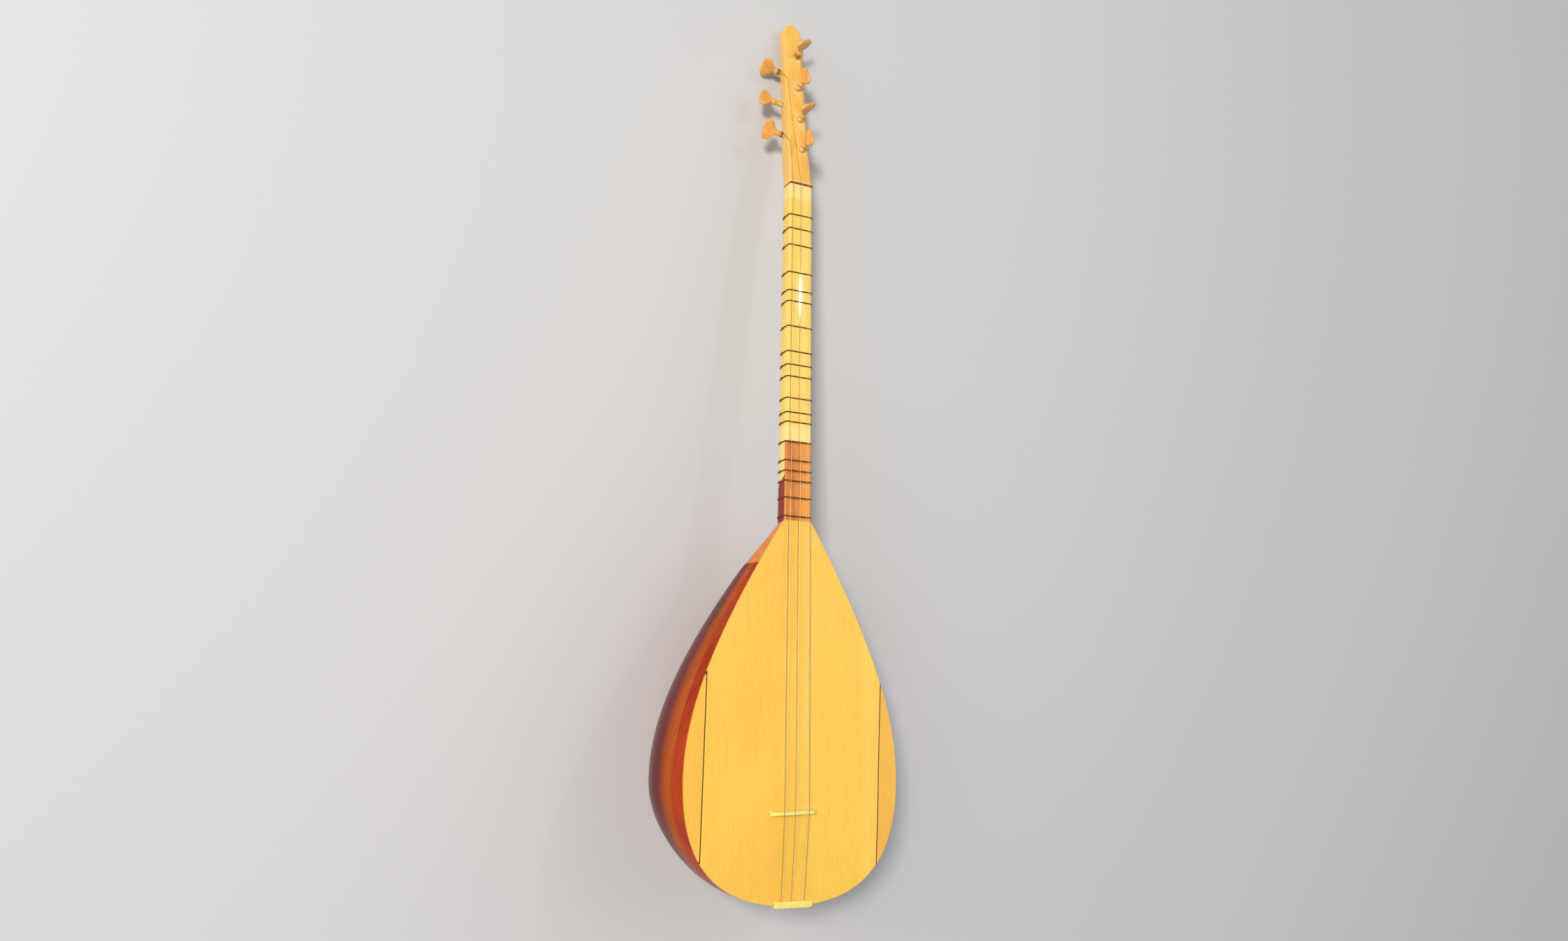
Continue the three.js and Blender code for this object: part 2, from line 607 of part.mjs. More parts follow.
function buildBridge(parent) {
  const half = BRIDGE_LENGTH / 2;
  const front = new THREE.Shape();
  const shoulder = BRIDGE_HEIGHT - 0.2;
  front.moveTo(-half, 0);
  front.lineTo(-half + 0.4, shoulder - 2.5);
  front.quadraticCurveTo(-half + 0.6, shoulder, -half + 3, shoulder);
  front.quadraticCurveTo(0, BRIDGE_HEIGHT + 0.2, half - 3, shoulder);
  front.quadraticCurveTo(half - 0.6, shoulder, half - 0.4, shoulder - 2.5);
  front.lineTo(half, 0);
  for (const foot of [7, -11]) {
    front.lineTo(foot + 4, 0);
    front.quadraticCurveTo(foot + 2, 2.6, foot, 2.6);
    front.quadraticCurveTo(foot - 2, 2.6, foot - 4, 0);
  }
  front.closePath();
  const depth = BRIDGE_FOOT;
  const elevation = new THREE.ExtrudeGeometry(front, { depth, bevelEnabled: false, curveSegments: 5 });
  elevation.rotateX(Math.PI / 2).translate(0, depth / 2, 0);

  const wedge = new THREE.Shape([
    new THREE.Vector2(-BRIDGE_FOOT / 2, -1), new THREE.Vector2(BRIDGE_FOOT / 2, -1),
    new THREE.Vector2(BRIDGE_FOOT / 2, 1), new THREE.Vector2(BRIDGE_CREST / 2, BRIDGE_HEIGHT + 1),
    new THREE.Vector2(-BRIDGE_CREST / 2, BRIDGE_HEIGHT + 1), new THREE.Vector2(-BRIDGE_FOOT / 2, 1)]);
  const profile = new THREE.ExtrudeGeometry(wedge, { depth: BRIDGE_LENGTH + 4, bevelEnabled: false });
  profile.translate(0, 0, -half - 2).rotateX(Math.PI / 2).rotateZ(Math.PI / 2);

  const mesh = piece('bridge', toSolid(elevation).intersect(toSolid(profile)), BRIDGE_WOOD, parent);
  mesh.position.set(BRIDGE_X, BRIDGE_Y, GAP);
  mesh.rotation.z = BRIDGE_SKEW;
}

function buildHolder(parent) {
  const { half, front, back, top } = HOLDER;
  const profile = new THREE.Shape([
    new THREE.Vector2(front, -BOARD), new THREE.Vector2(front, top - 0.6),
    new THREE.Vector2(front - 0.6, top), new THREE.Vector2(back + 1.5, top),
    new THREE.Vector2(back, top - 1.5), new THREE.Vector2(back, -BOARD)]);
  const bar = new THREE.ExtrudeGeometry(profile, { depth: 2 * half, bevelEnabled: false });
  bar.rotateX(Math.PI / 2).rotateZ(Math.PI / 2).translate(-half, 0, 0);
  piece('string_holder', bar, BRIDGE_WOOD, parent);
}

// ---------------------------------------------------------------- strings

// A round wire through the given points, bent sharply at each.
function wire(points, radius) {
  const rings = points.map((p, i) => {
    const before = points[Math.max(0, i - 1)];
    const after = points[Math.min(points.length - 1, i + 1)];
    const heading = new THREE.Vector3().subVectors(after, before).normalize();
    const across = new THREE.Vector3().crossVectors(heading, new THREE.Vector3(0, 0, 1)).normalize();
    const up = new THREE.Vector3().crossVectors(across, heading);
    return Array.from({ length: STRING_SIDES }, (_, k) => {
      const angle = 2 * Math.PI * k / STRING_SIDES;
      return p.clone().addScaledVector(across, radius * Math.cos(angle))
        .addScaledVector(up, radius * Math.sin(angle));
    });
  });
  return loft(rings);
}

// The turns of a string on its peg, as one sleeve.
function winding(place) {
  const inner = PEG_SHAFT + GAP;
  const outer = inner + WINDING.thickness;
  const profile = [[inner, WINDING.start], [outer, WINDING.start], [outer, WINDING.end],
    [inner, WINDING.end], [inner, WINDING.start]];
  const sleeve = new THREE.LatheGeometry(profile.map(([x, y]) => new THREE.Vector2(x, y)), 12);
  return onPeg(sleeve.rotateX(Math.PI / 2), place);
}

// The last points of a string, on the head, ending inside its winding.
function headRoute(string, place) {
  const middle = (WINDING.start + WINDING.end) / 2;
  const grip = PEG_SHAFT + GAP + WINDING.thickness / 2;
  const onShaft = place.at.clone().addScaledVector(place.out, middle);
  if (string.peg === 'face') {
    const side = string.nut < 5 ? -1 : 1;
    return [onShaft.add(new THREE.Vector3(side * grip, 0, 0))];
  }
  const edge = new THREE.Vector3(place.at.x + 1.2, place.at.y - 15, GAP + string.gauge / 2);
  return [edge, onShaft.add(new THREE.Vector3(0, 0, grip))];
}

function buildStrings(parent, head) {
  head.updateMatrix();
  STRINGS.forEach((string, i) => {
    const radius = string.gauge / 2;
    const clear = GAP + radius;
    const bridgeY = BRIDGE_Y + (string.bridge - BRIDGE_X) * Math.tan(BRIDGE_SKEW);
    const peg = (string.peg === 'face' ? FACE_PEGS : SIDE_PEGS)[string.index];
    const place = pegPlace(string.peg, peg.along);
    const holderX = string.bridge * 0.92;
    const route = [
      new THREE.Vector3(holderX, HOLDER.front + GAP, STRING_AT_HOLDER),
      new THREE.Vector3(string.bridge, bridgeY, GAP + BRIDGE_HEIGHT + 0.1 + clear),
      new THREE.Vector3(string.nut, SCALE, faceHeight(SCALE) + NUT_HEIGHT + clear),
      ...headRoute(string, place).map((p) => p.applyMatrix4(head.matrix)),
    ];
    const sleeve = winding(place).applyMatrix4(head.matrix);
    piece(`string_${i + 1}`, toSolid(wire(route, radius)).add(toSolid(sleeve)), STEEL, parent);
  });
}

// ---------------------------------------------------------------- the whole instrument

const instrument = new THREE.Group();
const head = new THREE.Group();
head.position.set(0, SCALE, faceHeight(SCALE));
head.rotation.x = -HEAD_TILT;
instrument.add(head);

buildSoundboard(instrument);
buildBowl(instrument);
buildInside(instrument);
buildNeck(instrument);
buildNut(instrument);
buildFrets(instrument);
buildHead(head);
buildBridge(instrument);
buildHolder(instrument);
buildStrings(instrument, head);

// The angle at which the back of the bowl and the back of the head are equally low.
function lowest(object) {
  object.updateWorldMatrix(true, false);
  const position = object.geometry.attributes.position;
  let low = Infinity;
  for (let i = 0; i < position.count; i += 1) {
    const corner = new THREE.Vector3().fromBufferAttribute(position, i).applyMatrix4(object.matrixWorld);
    low = Math.min(low, corner.z);
  }
  return low;
}

function lieOnBack() {
  const middleStave = instrument.getObjectByName(`bowl_stave_${(STAVES + 1) / 2}`);
  const peghead = instrument.getObjectByName('peghead');
  let [flat, steep] = [0, THREE.MathUtils.degToRad(15)];
  for (let i = 0; i < 30; i += 1) {
    instrument.rotation.x = -(flat + steep) / 2;
    if (lowest(peghead) > lowest(middleStave)) flat = -instrument.rotation.x;
    else steep = -instrument.rotation.x;
  }
  instrument.updateMatrixWorld(true);
  const box = new THREE.Box3().setFromObject(instrument, true);
  const middle = box.getCenter(new THREE.Vector3());
  instrument.position.set(-middle.x, -middle.y, -box.min.z);
}

lieOnBack();

const group = new THREE.Group();
group.name = 'baglama_saz';
group.add(instrument);

export default group;
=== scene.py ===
"""A short-neck baglama (saz), lying on its back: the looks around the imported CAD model.

Shapes are drawn in millimetres in the instrument's own frame (X across, Y from the tail to the head, Z out
of the soundboard, the bridge line at Y = 0, the top of the soundboard at Z = 0). TO_ROW carries them into the
row frame, in metres. The frame's joints say how the instrument lies there.
"""

import json
import math

import bmesh
import bpy
from mathutils import Matrix, Quaternion, Vector


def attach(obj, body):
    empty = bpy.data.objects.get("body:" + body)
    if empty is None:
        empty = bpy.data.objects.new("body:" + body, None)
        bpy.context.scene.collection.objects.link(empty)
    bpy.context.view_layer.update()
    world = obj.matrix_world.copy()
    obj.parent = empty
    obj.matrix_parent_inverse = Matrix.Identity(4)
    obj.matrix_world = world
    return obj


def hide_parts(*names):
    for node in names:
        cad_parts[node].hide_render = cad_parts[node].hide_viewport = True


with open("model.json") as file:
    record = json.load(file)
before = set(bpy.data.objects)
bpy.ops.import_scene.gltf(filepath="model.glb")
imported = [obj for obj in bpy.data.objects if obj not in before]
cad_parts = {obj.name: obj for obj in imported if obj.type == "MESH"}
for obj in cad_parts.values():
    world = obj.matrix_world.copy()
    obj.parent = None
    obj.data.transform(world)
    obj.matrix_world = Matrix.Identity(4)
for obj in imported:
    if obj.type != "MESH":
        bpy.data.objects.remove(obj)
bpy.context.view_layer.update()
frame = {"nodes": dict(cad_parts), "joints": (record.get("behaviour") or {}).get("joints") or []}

# ---------------- dimensions, in millimetres

SCALE = 710             # bridge line to nut: the sounding string length
BODY_TOP = 309.4        # where the soundboard ends and the neck begins
BODY_TAIL = -90
WIDEST = 36.7           # Y of the widest point of the soundboard
HALF_WIDTH = 123.6      # half the width of the soundboard there
NECK_ROOT_HALF = 16.5   # half the width of the neck at the body

BOARD = 4               # soundboard thickness
RIM_EASE = 0.7          # how far the outer rim of the soundboard is rounded
SEAM_AT = 50            # Y at which the X of the two inlaid seams is given
SEAMS = {"left": (-103.2, math.radians(0.53)), "right": (101.7, math.radians(1.5))}
SEAM_HALF = 0.6
RIM = -4.25             # Z of the top edge of the bowl

BOWL_DEPTH = 155.7      # below the rim, at the widest point
BOWL_BULGE = 0.112      # how far the bowl swells past the soundboard, as a share of its half-width
BULGE_STARTS = (-80, 30)  # Y between which it sets in from the tail
BULGE_ENDS = (255, 310)  # Y between which it fades towards the neck
BOWL_FULLNESS = 0.83    # below 1, the ends of the bowl are deeper than its plan outline alone says
STAVES = 9
RIM_STAVE = 0.065       # share of the half girth that the narrow stave at each rim takes
STAVE = 3.5             # stave thickness
STAVE_TOP = 261.7       # the staves end here, against the neck block
STAVE_END = 1.965       # their end at the tail, as a place along the outline
STAVE_JOINT = 0.05      # half the gap between two staves
STAVE_EASE = 0.35       # how far their long edges are rounded
SOUND_HOLE = 6          # radius of the hole at the tail end of the middle stave
HOLE_PLACE = 1.74       # its height is that of the keel at this place along the outline
HOLE_REACH = (-60, -110)  # Y from which to which it is bored
BLOCK_START = 0.002     # where the neck block begins, as a place along the outline

NECK_NUT_HALF = 14.75   # half the width of the neck at the nut
NECK_LEAN = math.radians(0.5)
NECK_SIDE = 15          # height of the flat side of the neck
NECK_BELLY_NUT = 11     # depth of the rounded back under it, at the nut and at the body
NECK_BELLY_ROOT = 14
NECK_EDGE = 2.5         # radius of the long front edges
OVERLAY = 3             # fingerboard overlay on the lowest frets
OVERLAY_TOP = 398
SPLICE = 362            # the light neck is spliced to its dark root here
SPLICE_SLOPE = math.tan(math.radians(35))
SNUG = 0.05             # between pieces that look glued

FRET_CENTS = [100, 145, 200, 295, 360, 400, 495, 595, 650, 700,
              795, 860, 905, 1000, 1095, 1150, 1205, 1300, 1410]
FRET_LINE = 0.38        # radius of the line that is tied round twice
FRET_CLEAR = 0.16       # under the line, so that it slides
FRET_WANDER = 0.12      # how far a turn of line strays from straight
KNOT = 1.1              # radius of the loop of a knot
KNOT_LEAN = 0.15        # how much farther out its top is than its middle
KNOT_OUT = 0.62         # how far it stands out from the side of the neck
KNOT_TAIL = [(0.55, 0.6, 0), (0.75, 1.4, -0.6), (0.65, 2.0, -1.6)]  # out, along and up: the cut ends

NUT_LENGTH = 2
NUT_HEIGHT = 1.3        # above the face
NUT_SLOT = 2.5          # below the face

HEAD_TILT = math.radians(8)
HEAD_LENGTH = 229
HEAD_TIP = 15           # length of the rounded end
HEAD_BLUNT = 2.4        # 2 is an elliptical end, more is blunter
HEAD_SHOULDER = 40      # the neck's section turns into the head's within this length
HEAD_HALF_NUT = 15      # half the width of the head
HEAD_HALF_SHOULDER = 13.3
HEAD_HALF_TIP = 12.4
HEAD_BACK_NUT = 26      # depth of the head
HEAD_BACK_TIP = 15
HEAD_BELLY = 4          # depth of the rounded back of the head
HEAD_EDGE = 4.5         # radius of its long front edges

BRIDGE_X = -3
BRIDGE_Y = 2
BRIDGE_SKEW = math.radians(1.9)
BRIDGE_LENGTH = 50
BRIDGE_HEIGHT = 8.2
BRIDGE_FOOT = 6.5       # front to back at the soundboard
BRIDGE_CREST = 3.2      # front to back at the strings
BRIDGE_LIFT = 0.3       # above the soundboard
BRIDGE_ARCHES = (9, -9)  # X of the two low arches between its feet
ARCH = (4.5, 2.8)       # half the width and the height of an arch
SLOT_CLEAR = 0.5        # under a string in its slot, so that the bridge can slide under it

HOLDER_HALF = 21.5
HOLDER_FRONT = -85
HOLDER_BACK = -92
HOLDER_TOP = 2.2
HOLDER_CORNER = 2.5     # radius of its rear corners

PEG_SHAFT = 3.05        # shaft radius at the face of the head
PEG_POINT = 2.5         # shaft radius at its thin end
PEG_HOLE = 3.2
PEG_BORE = (-50, 5)     # from where to where along the peg its hole is cut
HANDLE_START = 10.6     # along the peg, from the wood of the head
HANDLE_END = 27.3
FACE_PEG_X = 2
FACE_PEG_LEAN = math.radians(17)  # towards the tip of the head
FACE_PEG_SWAY = math.radians(5)  # towards the treble side
SIDE_PEG_DEPTH = 12.3   # below the face of the head
SIDE_PEG_LEAN = math.radians(14)  # towards the tip
SIDE_PEG_DROP = math.radians(5)  # towards the back

# Distance from the nut, turn of the handle in degrees, and how far the peg is pulled out.
FACE_PEGS = [(46.5, 88, 0), (89, 36, 0), (134, 96, 0), (180.5, 36, 0)]
SIDE_PEGS = [(72, 27, 0), (115.5, 87, 3), (162.5, -2, -1.2)]
PEGS = {"face": FACE_PEGS, "side": SIDE_PEGS}

# X at the bridge, X at the nut, gauge, peg and whether the string is wire-wound.
STRINGS = [
    (-15.2, -11.6, 0.5, "side", 0, True),
    (-12.6, -9.4, 0.26, "side", 1, False),
    (-2.6, -1.2, 0.42, "side", 2, True),
    (-0.2, 1.0, 0.26, "face", 0, False),
    (9.0, 8.2, 0.24, "face", 1, False),
    (11.3, 10.2, 0.24, "face", 2, False),
    (13.6, 12.2, 0.5, "face", 3, True),
]
STRING_AT_HOLDER = 0.9  # height of the strings where they meet the string holder
HOLDER_SPREAD = 0.92    # how far apart they are there, as a share of the distance at the bridge
WINDING_START = 2.1     # along the peg
WINDING_END = 5.3
MOST_TURNS = 8          # of string on a peg
TURN_ROOM = 1.08        # in gauges, what a turn takes when the turns are counted
TURN_PITCH = 1.06       # in gauges, from turn to turn
TURN_STEPS = 24         # points of the string in a turn
STRING_CLEAR = 0.05     # between a string and its peg

# ---------------- from the instrument to the row frame

MM = 0.001


def instrument_matrix():
    """The instrument's own frame in the row frame: its long axis is the one that the bridge slides along."""
    along = Vector(next(j["axis"] for j in frame["joints"] if j["name"] == "bridge_slide"))
    across = Vector((1, 0, 0))
    out = across.cross(along)
    corners = [v.co for v in frame["nodes"]["soundboard_center"].data.vertices]
    top = max(c.dot(out) for c in corners)
    end = max(c.dot(along) for c in corners)
    origin = along * (end - BODY_TOP * MM) + out * top
    turn = Matrix((across, along, out)).transposed().to_4x4()
    return Matrix.Translation(origin) @ turn @ Matrix.Scale(MM, 4)


TO_ROW = instrument_matrix()


def face_height(y):
    return -(y - BODY_TOP) * math.tan(NECK_LEAN)


# The head's own frame, at the nut and tilted back.
HEAD = Matrix.Translation((0, SCALE, face_height(SCALE))) @ Matrix.Rotation(-HEAD_TILT, 4, "X")

# ---------------- small helpers


def lerp(a, b, share):
    return a + (b - a) * share


def smoothstep(x, low, high):
    x = min(1, max(0, (x - low) / (high - low)))
    return x * x * (3 - 2 * x)


def spread(start, end, steps):
    return [lerp(start, end, i / steps) for i in range(steps + 1)]


def circle(steps):
    """Angles around a whole turn."""
    return spread(0, 2 * math.pi, steps)[:-1]


def bezier(points, t):
    a, b, c, d = map(Vector, points)
    s = 1 - t
    return a * s**3 + b * (3 * s * s * t) + c * (3 * s * t * t) + d * t**3


def curve_value(knots, x):
    """A smooth curve through (x, value) knots, read at x."""
    if x <= knots[0][0]:
        return knots[0][1]
    if x >= knots[-1][0]:
        return knots[-1][1]
    i = next(k for k in range(len(knots) - 1) if knots[k + 1][0] >= x)
    (x0, y0), (x1, y1) = knots[i], knots[i + 1]

    def slope(k):
        if k == 0:
            return 0
        before, after = knots[k - 1], knots[min(k + 1, len(knots) - 1)]
        return (after[1] - before[1]) / (after[0] - before[0])

    width = x1 - x0
    t = (x - x0) / width
    h00, h10 = 2 * t**3 - 3 * t**2 + 1, t**3 - 2 * t**2 + t
    h01, h11 = -2 * t**3 + 3 * t**2, t**3 - t**2
    return h00 * y0 + h10 * width * slope(i) + h01 * y1 + h11 * width * slope(i + 1)


CREASE = 35             # degrees: steeper edges stay sharp


def make_piece(name, bm, look, body="instrument", matrix=Matrix(), sharp=CREASE):
    """Turns a bmesh in instrument millimetres into a piece that stands in for the node of its name."""
    bmesh.ops.transform(bm, matrix=TO_ROW @ matrix, verts=bm.verts)
    bmesh.ops.recalc_face_normals(bm, faces=bm.faces)
    mesh = bpy.data.meshes.new(name)
    bm.to_mesh(mesh)
    bm.free()
    mesh.shade_smooth()
    mesh.set_sharp_from_angle(angle=math.radians(sharp))
    obj = bpy.data.objects.new(name, mesh)
    bpy.context.scene.collection.objects.link(obj)
    mesh.materials.append(look)
    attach(obj, body)
    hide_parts(name)
    return obj


def skin(bm, rows, ends=True):
    """Faces between rows of vertices, each of them a ring, and over the two ends."""
    count = len(rows[0])
    for low, high in zip(rows, rows[1:]):
        for i in range(count):
            j = (i + 1) % count
            bm.faces.new((low[i], low[j], high[j], high[i]))
    if ends:
        bm.faces.new(rows[0])
        bm.faces.new(list(reversed(rows[-1])))
    return bm


def loft(rings, bm=None, ends=True):
    """A body through rings with the same number of points."""
    bm = bm or bmesh.new()
    return skin(bm, [[bm.verts.new(p) for p in ring] for ring in rings], ends)


def bevel(obj, width):
    """Rounds the sharp edges of a piece."""
    modifier = obj.modifiers.new("bevel", "BEVEL")
    modifier.width = width * MM
    modifier.segments = 2
    modifier.limit_method = "ANGLE"
    modifier.angle_limit = math.radians(CREASE)
    modifier.harden_normals = True


def cut(obj, cutters):
    """Cuts the closed bodies in a bmesh, in instrument millimetres, out of a piece."""
    bmesh.ops.transform(cutters, matrix=TO_ROW, verts=cutters.verts)
    bmesh.ops.recalc_face_normals(cutters, faces=cutters.faces)
    mesh = bpy.data.meshes.new("cutter")
    cutters.to_mesh(mesh)
    cutters.free()
    tool = bpy.data.objects.new("cutter", mesh)
    bpy.context.scene.collection.objects.link(tool)
    modifier = obj.modifiers.new("cut", "BOOLEAN")
    modifier.operation = "DIFFERENCE"
    modifier.solver = "EXACT"
    modifier.use_self = True
    modifier.object = tool
    bpy.context.view_layer.update()
    graph = bpy.context.evaluated_depsgraph_get()
    result = bpy.data.meshes.new_from_object(obj.evaluated_get(graph))
    obj.modifiers.remove(modifier)
    obj.data = result
    result.shade_smooth()
    result.set_sharp_from_angle(angle=math.radians(CREASE))
    bpy.data.objects.remove(tool)


def tube(points, radius, sides=10, bm=None, closed=False):
    """A round tube through points, its rings turned as little as possible from one to the next.

    The last ring of a closed tube joins the first one, point by point from wherever it has turned to.
    """
    count = len(points)
    rings = []
    up = Vector((0, 0, 1))
    for i, p in enumerate(points):
        before = points[i - 1] if closed or i else p
        after = points[(i + 1) % count] if closed or i < count - 1 else p
        heading = (after - before).normalized()
        across = heading.cross(up).normalized()
        up = across.cross(heading).normalized()
        rings.append([p + across * (radius * math.cos(a)) + up * (radius * math.sin(a))
                      for a in circle(sides)])
    if not closed:
        return loft(rings, bm)
    bm = loft(rings, bm, ends=False)
    bm.verts.ensure_lookup_table()
    first = len(bm.verts) - count * sides
    final = len(bm.verts) - sides
    ring = [bm.verts[first + k] for k in range(sides)]
    end = [bm.verts[final + k] for k in range(sides)]
    shift = min(range(sides), key=lambda s: (end[s].co - ring[0].co).length)
    for k in range(sides):
        a, b = end[(k + shift) % sides], end[(k + 1 + shift) % sides]
        bm.faces.new((a, b, ring[(k + 1) % sides], ring[k]))
    return bm


# ---------------- materials


def new_material(name):
    material = bpy.data.materials.new(name)
    material.use_nodes = True
    tree = material.node_tree
    return material, tree, tree.nodes["Principled BSDF"]


def grey(level):
    return (level,) * 3


class Graph:
    """Short words for the nodes of a material."""

    def __init__(self, tree):
        self.tree = tree

    def node(self, kind, **settings):
        node = self.tree.nodes.new(kind)
        for key, value in settings.items():
            setattr(node, key, value)
        return node

    def link(self, source, target):
        self.tree.links.new(source, target)

    def feed(self, socket, value):
        """Links a socket to another one, or gives it a number or a colour."""
        if isinstance(value, bpy.types.NodeSocket):
            self.link(value, socket)
        elif isinstance(value, tuple):
            socket.default_value = (*value, 1)
        elif value is not None:
            socket.default_value = value

    def math(self, operation, a, b=None):
        node = self.node("ShaderNodeMath", operation=operation)
        self.feed(node.inputs[0], a)
        self.feed(node.inputs[1], b)
        return node.outputs[0]

    def sway(self, value, amount):
        """A noise around one half, turned into a shift around zero."""
        return self.math("MULTIPLY", self.math("SUBTRACT", value, 0.5), amount)

    def total(self, *terms):
        """The sum of values, each times its weight."""
        result = None
        for value, weight in terms:
            term = self.math("MULTIPLY", value, weight)
            result = term if result is None else self.math("ADD", result, term)
        return result

    def ramp(self, value, stops):
        node = self.node("ShaderNodeValToRGB")
        node.color_ramp.interpolation = "EASE"
        elements = node.color_ramp.elements
        while len(elements) < len(stops):
            elements.new(0.5)
        for element, (at, color) in zip(elements, stops):
            element.position = at
            element.color = (*color, 1)
        self.link(value, node.inputs[0])
        return node.outputs[0]

    def mask(self, value, low, high, at_low=0, at_high=1):
        """Goes from one strength to the other as the value goes from low to high."""
        return self.ramp(value, [(low, grey(at_low)), (high, grey(at_high))])

    def mix(self, factor, a, b, kind="MIX"):
        node = self.node("ShaderNodeMix", data_type="RGBA", blend_type=kind)
        for socket, value in zip((node.inputs[0], node.inputs[6], node.inputs[7]), (factor, a, b)):
            self.feed(socket, value)
        return node.outputs[2]

    def noise(self, space, across, along, detail=3, rough=0.55, distortion=0):
        """Noise with so many waves in a metre across the grain and along it."""
        node = self.node("ShaderNodeTexNoise")
        node.inputs["Scale"].default_value = 1
        node.inputs["Detail"].default_value = detail
        node.inputs["Roughness"].default_value = rough
        node.inputs["Distortion"].default_value = distortion
        self.link(self.place(space, (across, along, across)), node.inputs["Vector"])
        return node.outputs["Fac"]

    def place(self, source, scale=(1, 1, 1), rotation=(0, 0, 0), location=(0, 0, 0)):
        node = self.node("ShaderNodeMapping")
        node.inputs["Scale"].default_value = scale
        node.inputs["Rotation"].default_value = rotation
        node.inputs["Location"].default_value = location
        self.link(source, node.inputs["Vector"])
        return node.outputs[0]

    def bump(self, height, strength, distance):
        node = self.node("ShaderNodeBump")
        node.inputs["Strength"].default_value = strength
        node.inputs["Distance"].default_value = distance
        self.link(height, node.inputs["Height"])
        return node.outputs[0]


TILT = math.atan2(TO_ROW[2][1], TO_ROW[1][1])


def grain_space(graph, attribute=None, seed=0.0):
    """Coordinates in metres with the wood's length along Y."""
    shift = (seed, seed * 1.7, seed * 0.6)
    if attribute:
        source = graph.node("ShaderNodeAttribute", attribute_name=attribute).outputs["Vector"]
        return graph.place(source, location=shift)
    source = graph.node("ShaderNodeTexCoord").outputs["Object"]
    return graph.place(source, rotation=(-TILT, 0, 0), location=shift)


HIGHLIGHT_COLOR = (1.0, 0.90, 0.55)  # the colour of the highlight painted along rounded edges
STREAK_SLANT = 0.041    # how fast the dark streak of the overlay crosses it
STREAK_AT = -0.0089     # in metres, where it would cross the middle of the floor plan
STREAK_WIDTH = 0.0035


def stave_shading(g, color, shade_color, bands):
    """Paints shade across a stave: darker across its width, away from the rim, with an edge that follows its
    bands.
    """
    across = g.node("ShaderNodeAttribute", attribute_name="across").outputs["Fac"]
    wavy = g.math("ADD", across, g.sway(bands, 0.25))
    return g.mix(g.mask(wavy, 0.10, 0.50), color, shade_color)


def streaked(g, color, streak, bands):
    """Draws one dark streak along the wood, slightly aslant."""
    place = g.node("ShaderNodeSeparateXYZ")
    g.link(g.node("ShaderNodeTexCoord").outputs["Object"], place.inputs[0])
    line = g.math("ADD", place.outputs[0], g.math("MULTIPLY", place.outputs[1], STREAK_SLANT))
    line = g.math("ADD", line, g.sway(bands, STREAK_WIDTH))
    away = g.math("ABSOLUTE", g.math("SUBTRACT", line, STREAK_AT))
    return g.mix(g.mask(away, STREAK_WIDTH * 0.25, STREAK_WIDTH, 0.8, 0), color, streak)


def wood(name, light, dark, pore, seed=0.0, attribute=None, figure=0.5, stripe=70, fibre=900,
         rough=0.35, coat=0.0, coat_rough=0.08, bump=0.15, edge_highlight=0.0, pores=0.35, specular=0.35,
         shade_color=None, streak=None):
    """Long-grained wood: broad tone, stripes along the grain, fine fibres and dark pores under a lacquer.

    stripe and fibre count them in a metre across the grain, and a higher figure sets them off more. The shade
    colour is painted shade that darkens a stave across its width, streak is the colour of a single streak,
    and the edge strength paints a pale highlight along rounded edges.
    """
    material, tree, shader = new_material(name)
    g = Graph(tree)
    space = grain_space(g, attribute, seed)
    broad = g.noise(space, 9, 1.2, 2, 0.5)
    bands = g.noise(space, stripe, 2.2, 3, 0.55, 0.3)
    fibres = g.noise(space, fibre, 14, 3, 0.6)
    flecks = g.noise(space, 1400, 60, 2, 0.5)
    tone = g.total((broad, 0.35), (bands, 0.45), (fibres, 0.2))
    reach = 0.32 * (1.05 - figure)
    color = g.ramp(tone, [(0.5 - reach, dark), (0.5 + reach, light)])
    color = g.mix(g.mask(flecks, 0.34, 0.46, pores, 0), color, pore)
    if shade_color:
        color = stave_shading(g, color, shade_color, bands)
    if streak:
        color = streaked(g, color, streak, bands)
    # Painted highlight: convex edges, found by their pointiness, turn paler as if they caught the light.
    if edge_highlight:
        edge = g.node("ShaderNodeNewGeometry").outputs["Pointiness"]
        edge_lit = tuple(lerp(c, pale, 0.5) for c, pale in zip(light, HIGHLIGHT_COLOR))
        color = g.mix(g.mask(edge, 0.505, 0.56, 0, edge_highlight), color, edge_lit)
    g.link(color, shader.inputs["Base Color"])
    g.link(g.math("ADD", g.sway(bands, 0.18), rough), shader.inputs["Roughness"])
    height = g.total((fibres, 0.7), (flecks, 0.3))
    g.link(g.bump(height, bump, 0.0002), shader.inputs["Normal"])
    shader.inputs["Coat Weight"].default_value = coat
    shader.inputs["Coat Roughness"].default_value = coat_rough
    shader.inputs["Specular IOR Level"].default_value = specular
    return material


YEAR_LINES = 105        # scale of the bands: close year lines, a millimetre or two apart


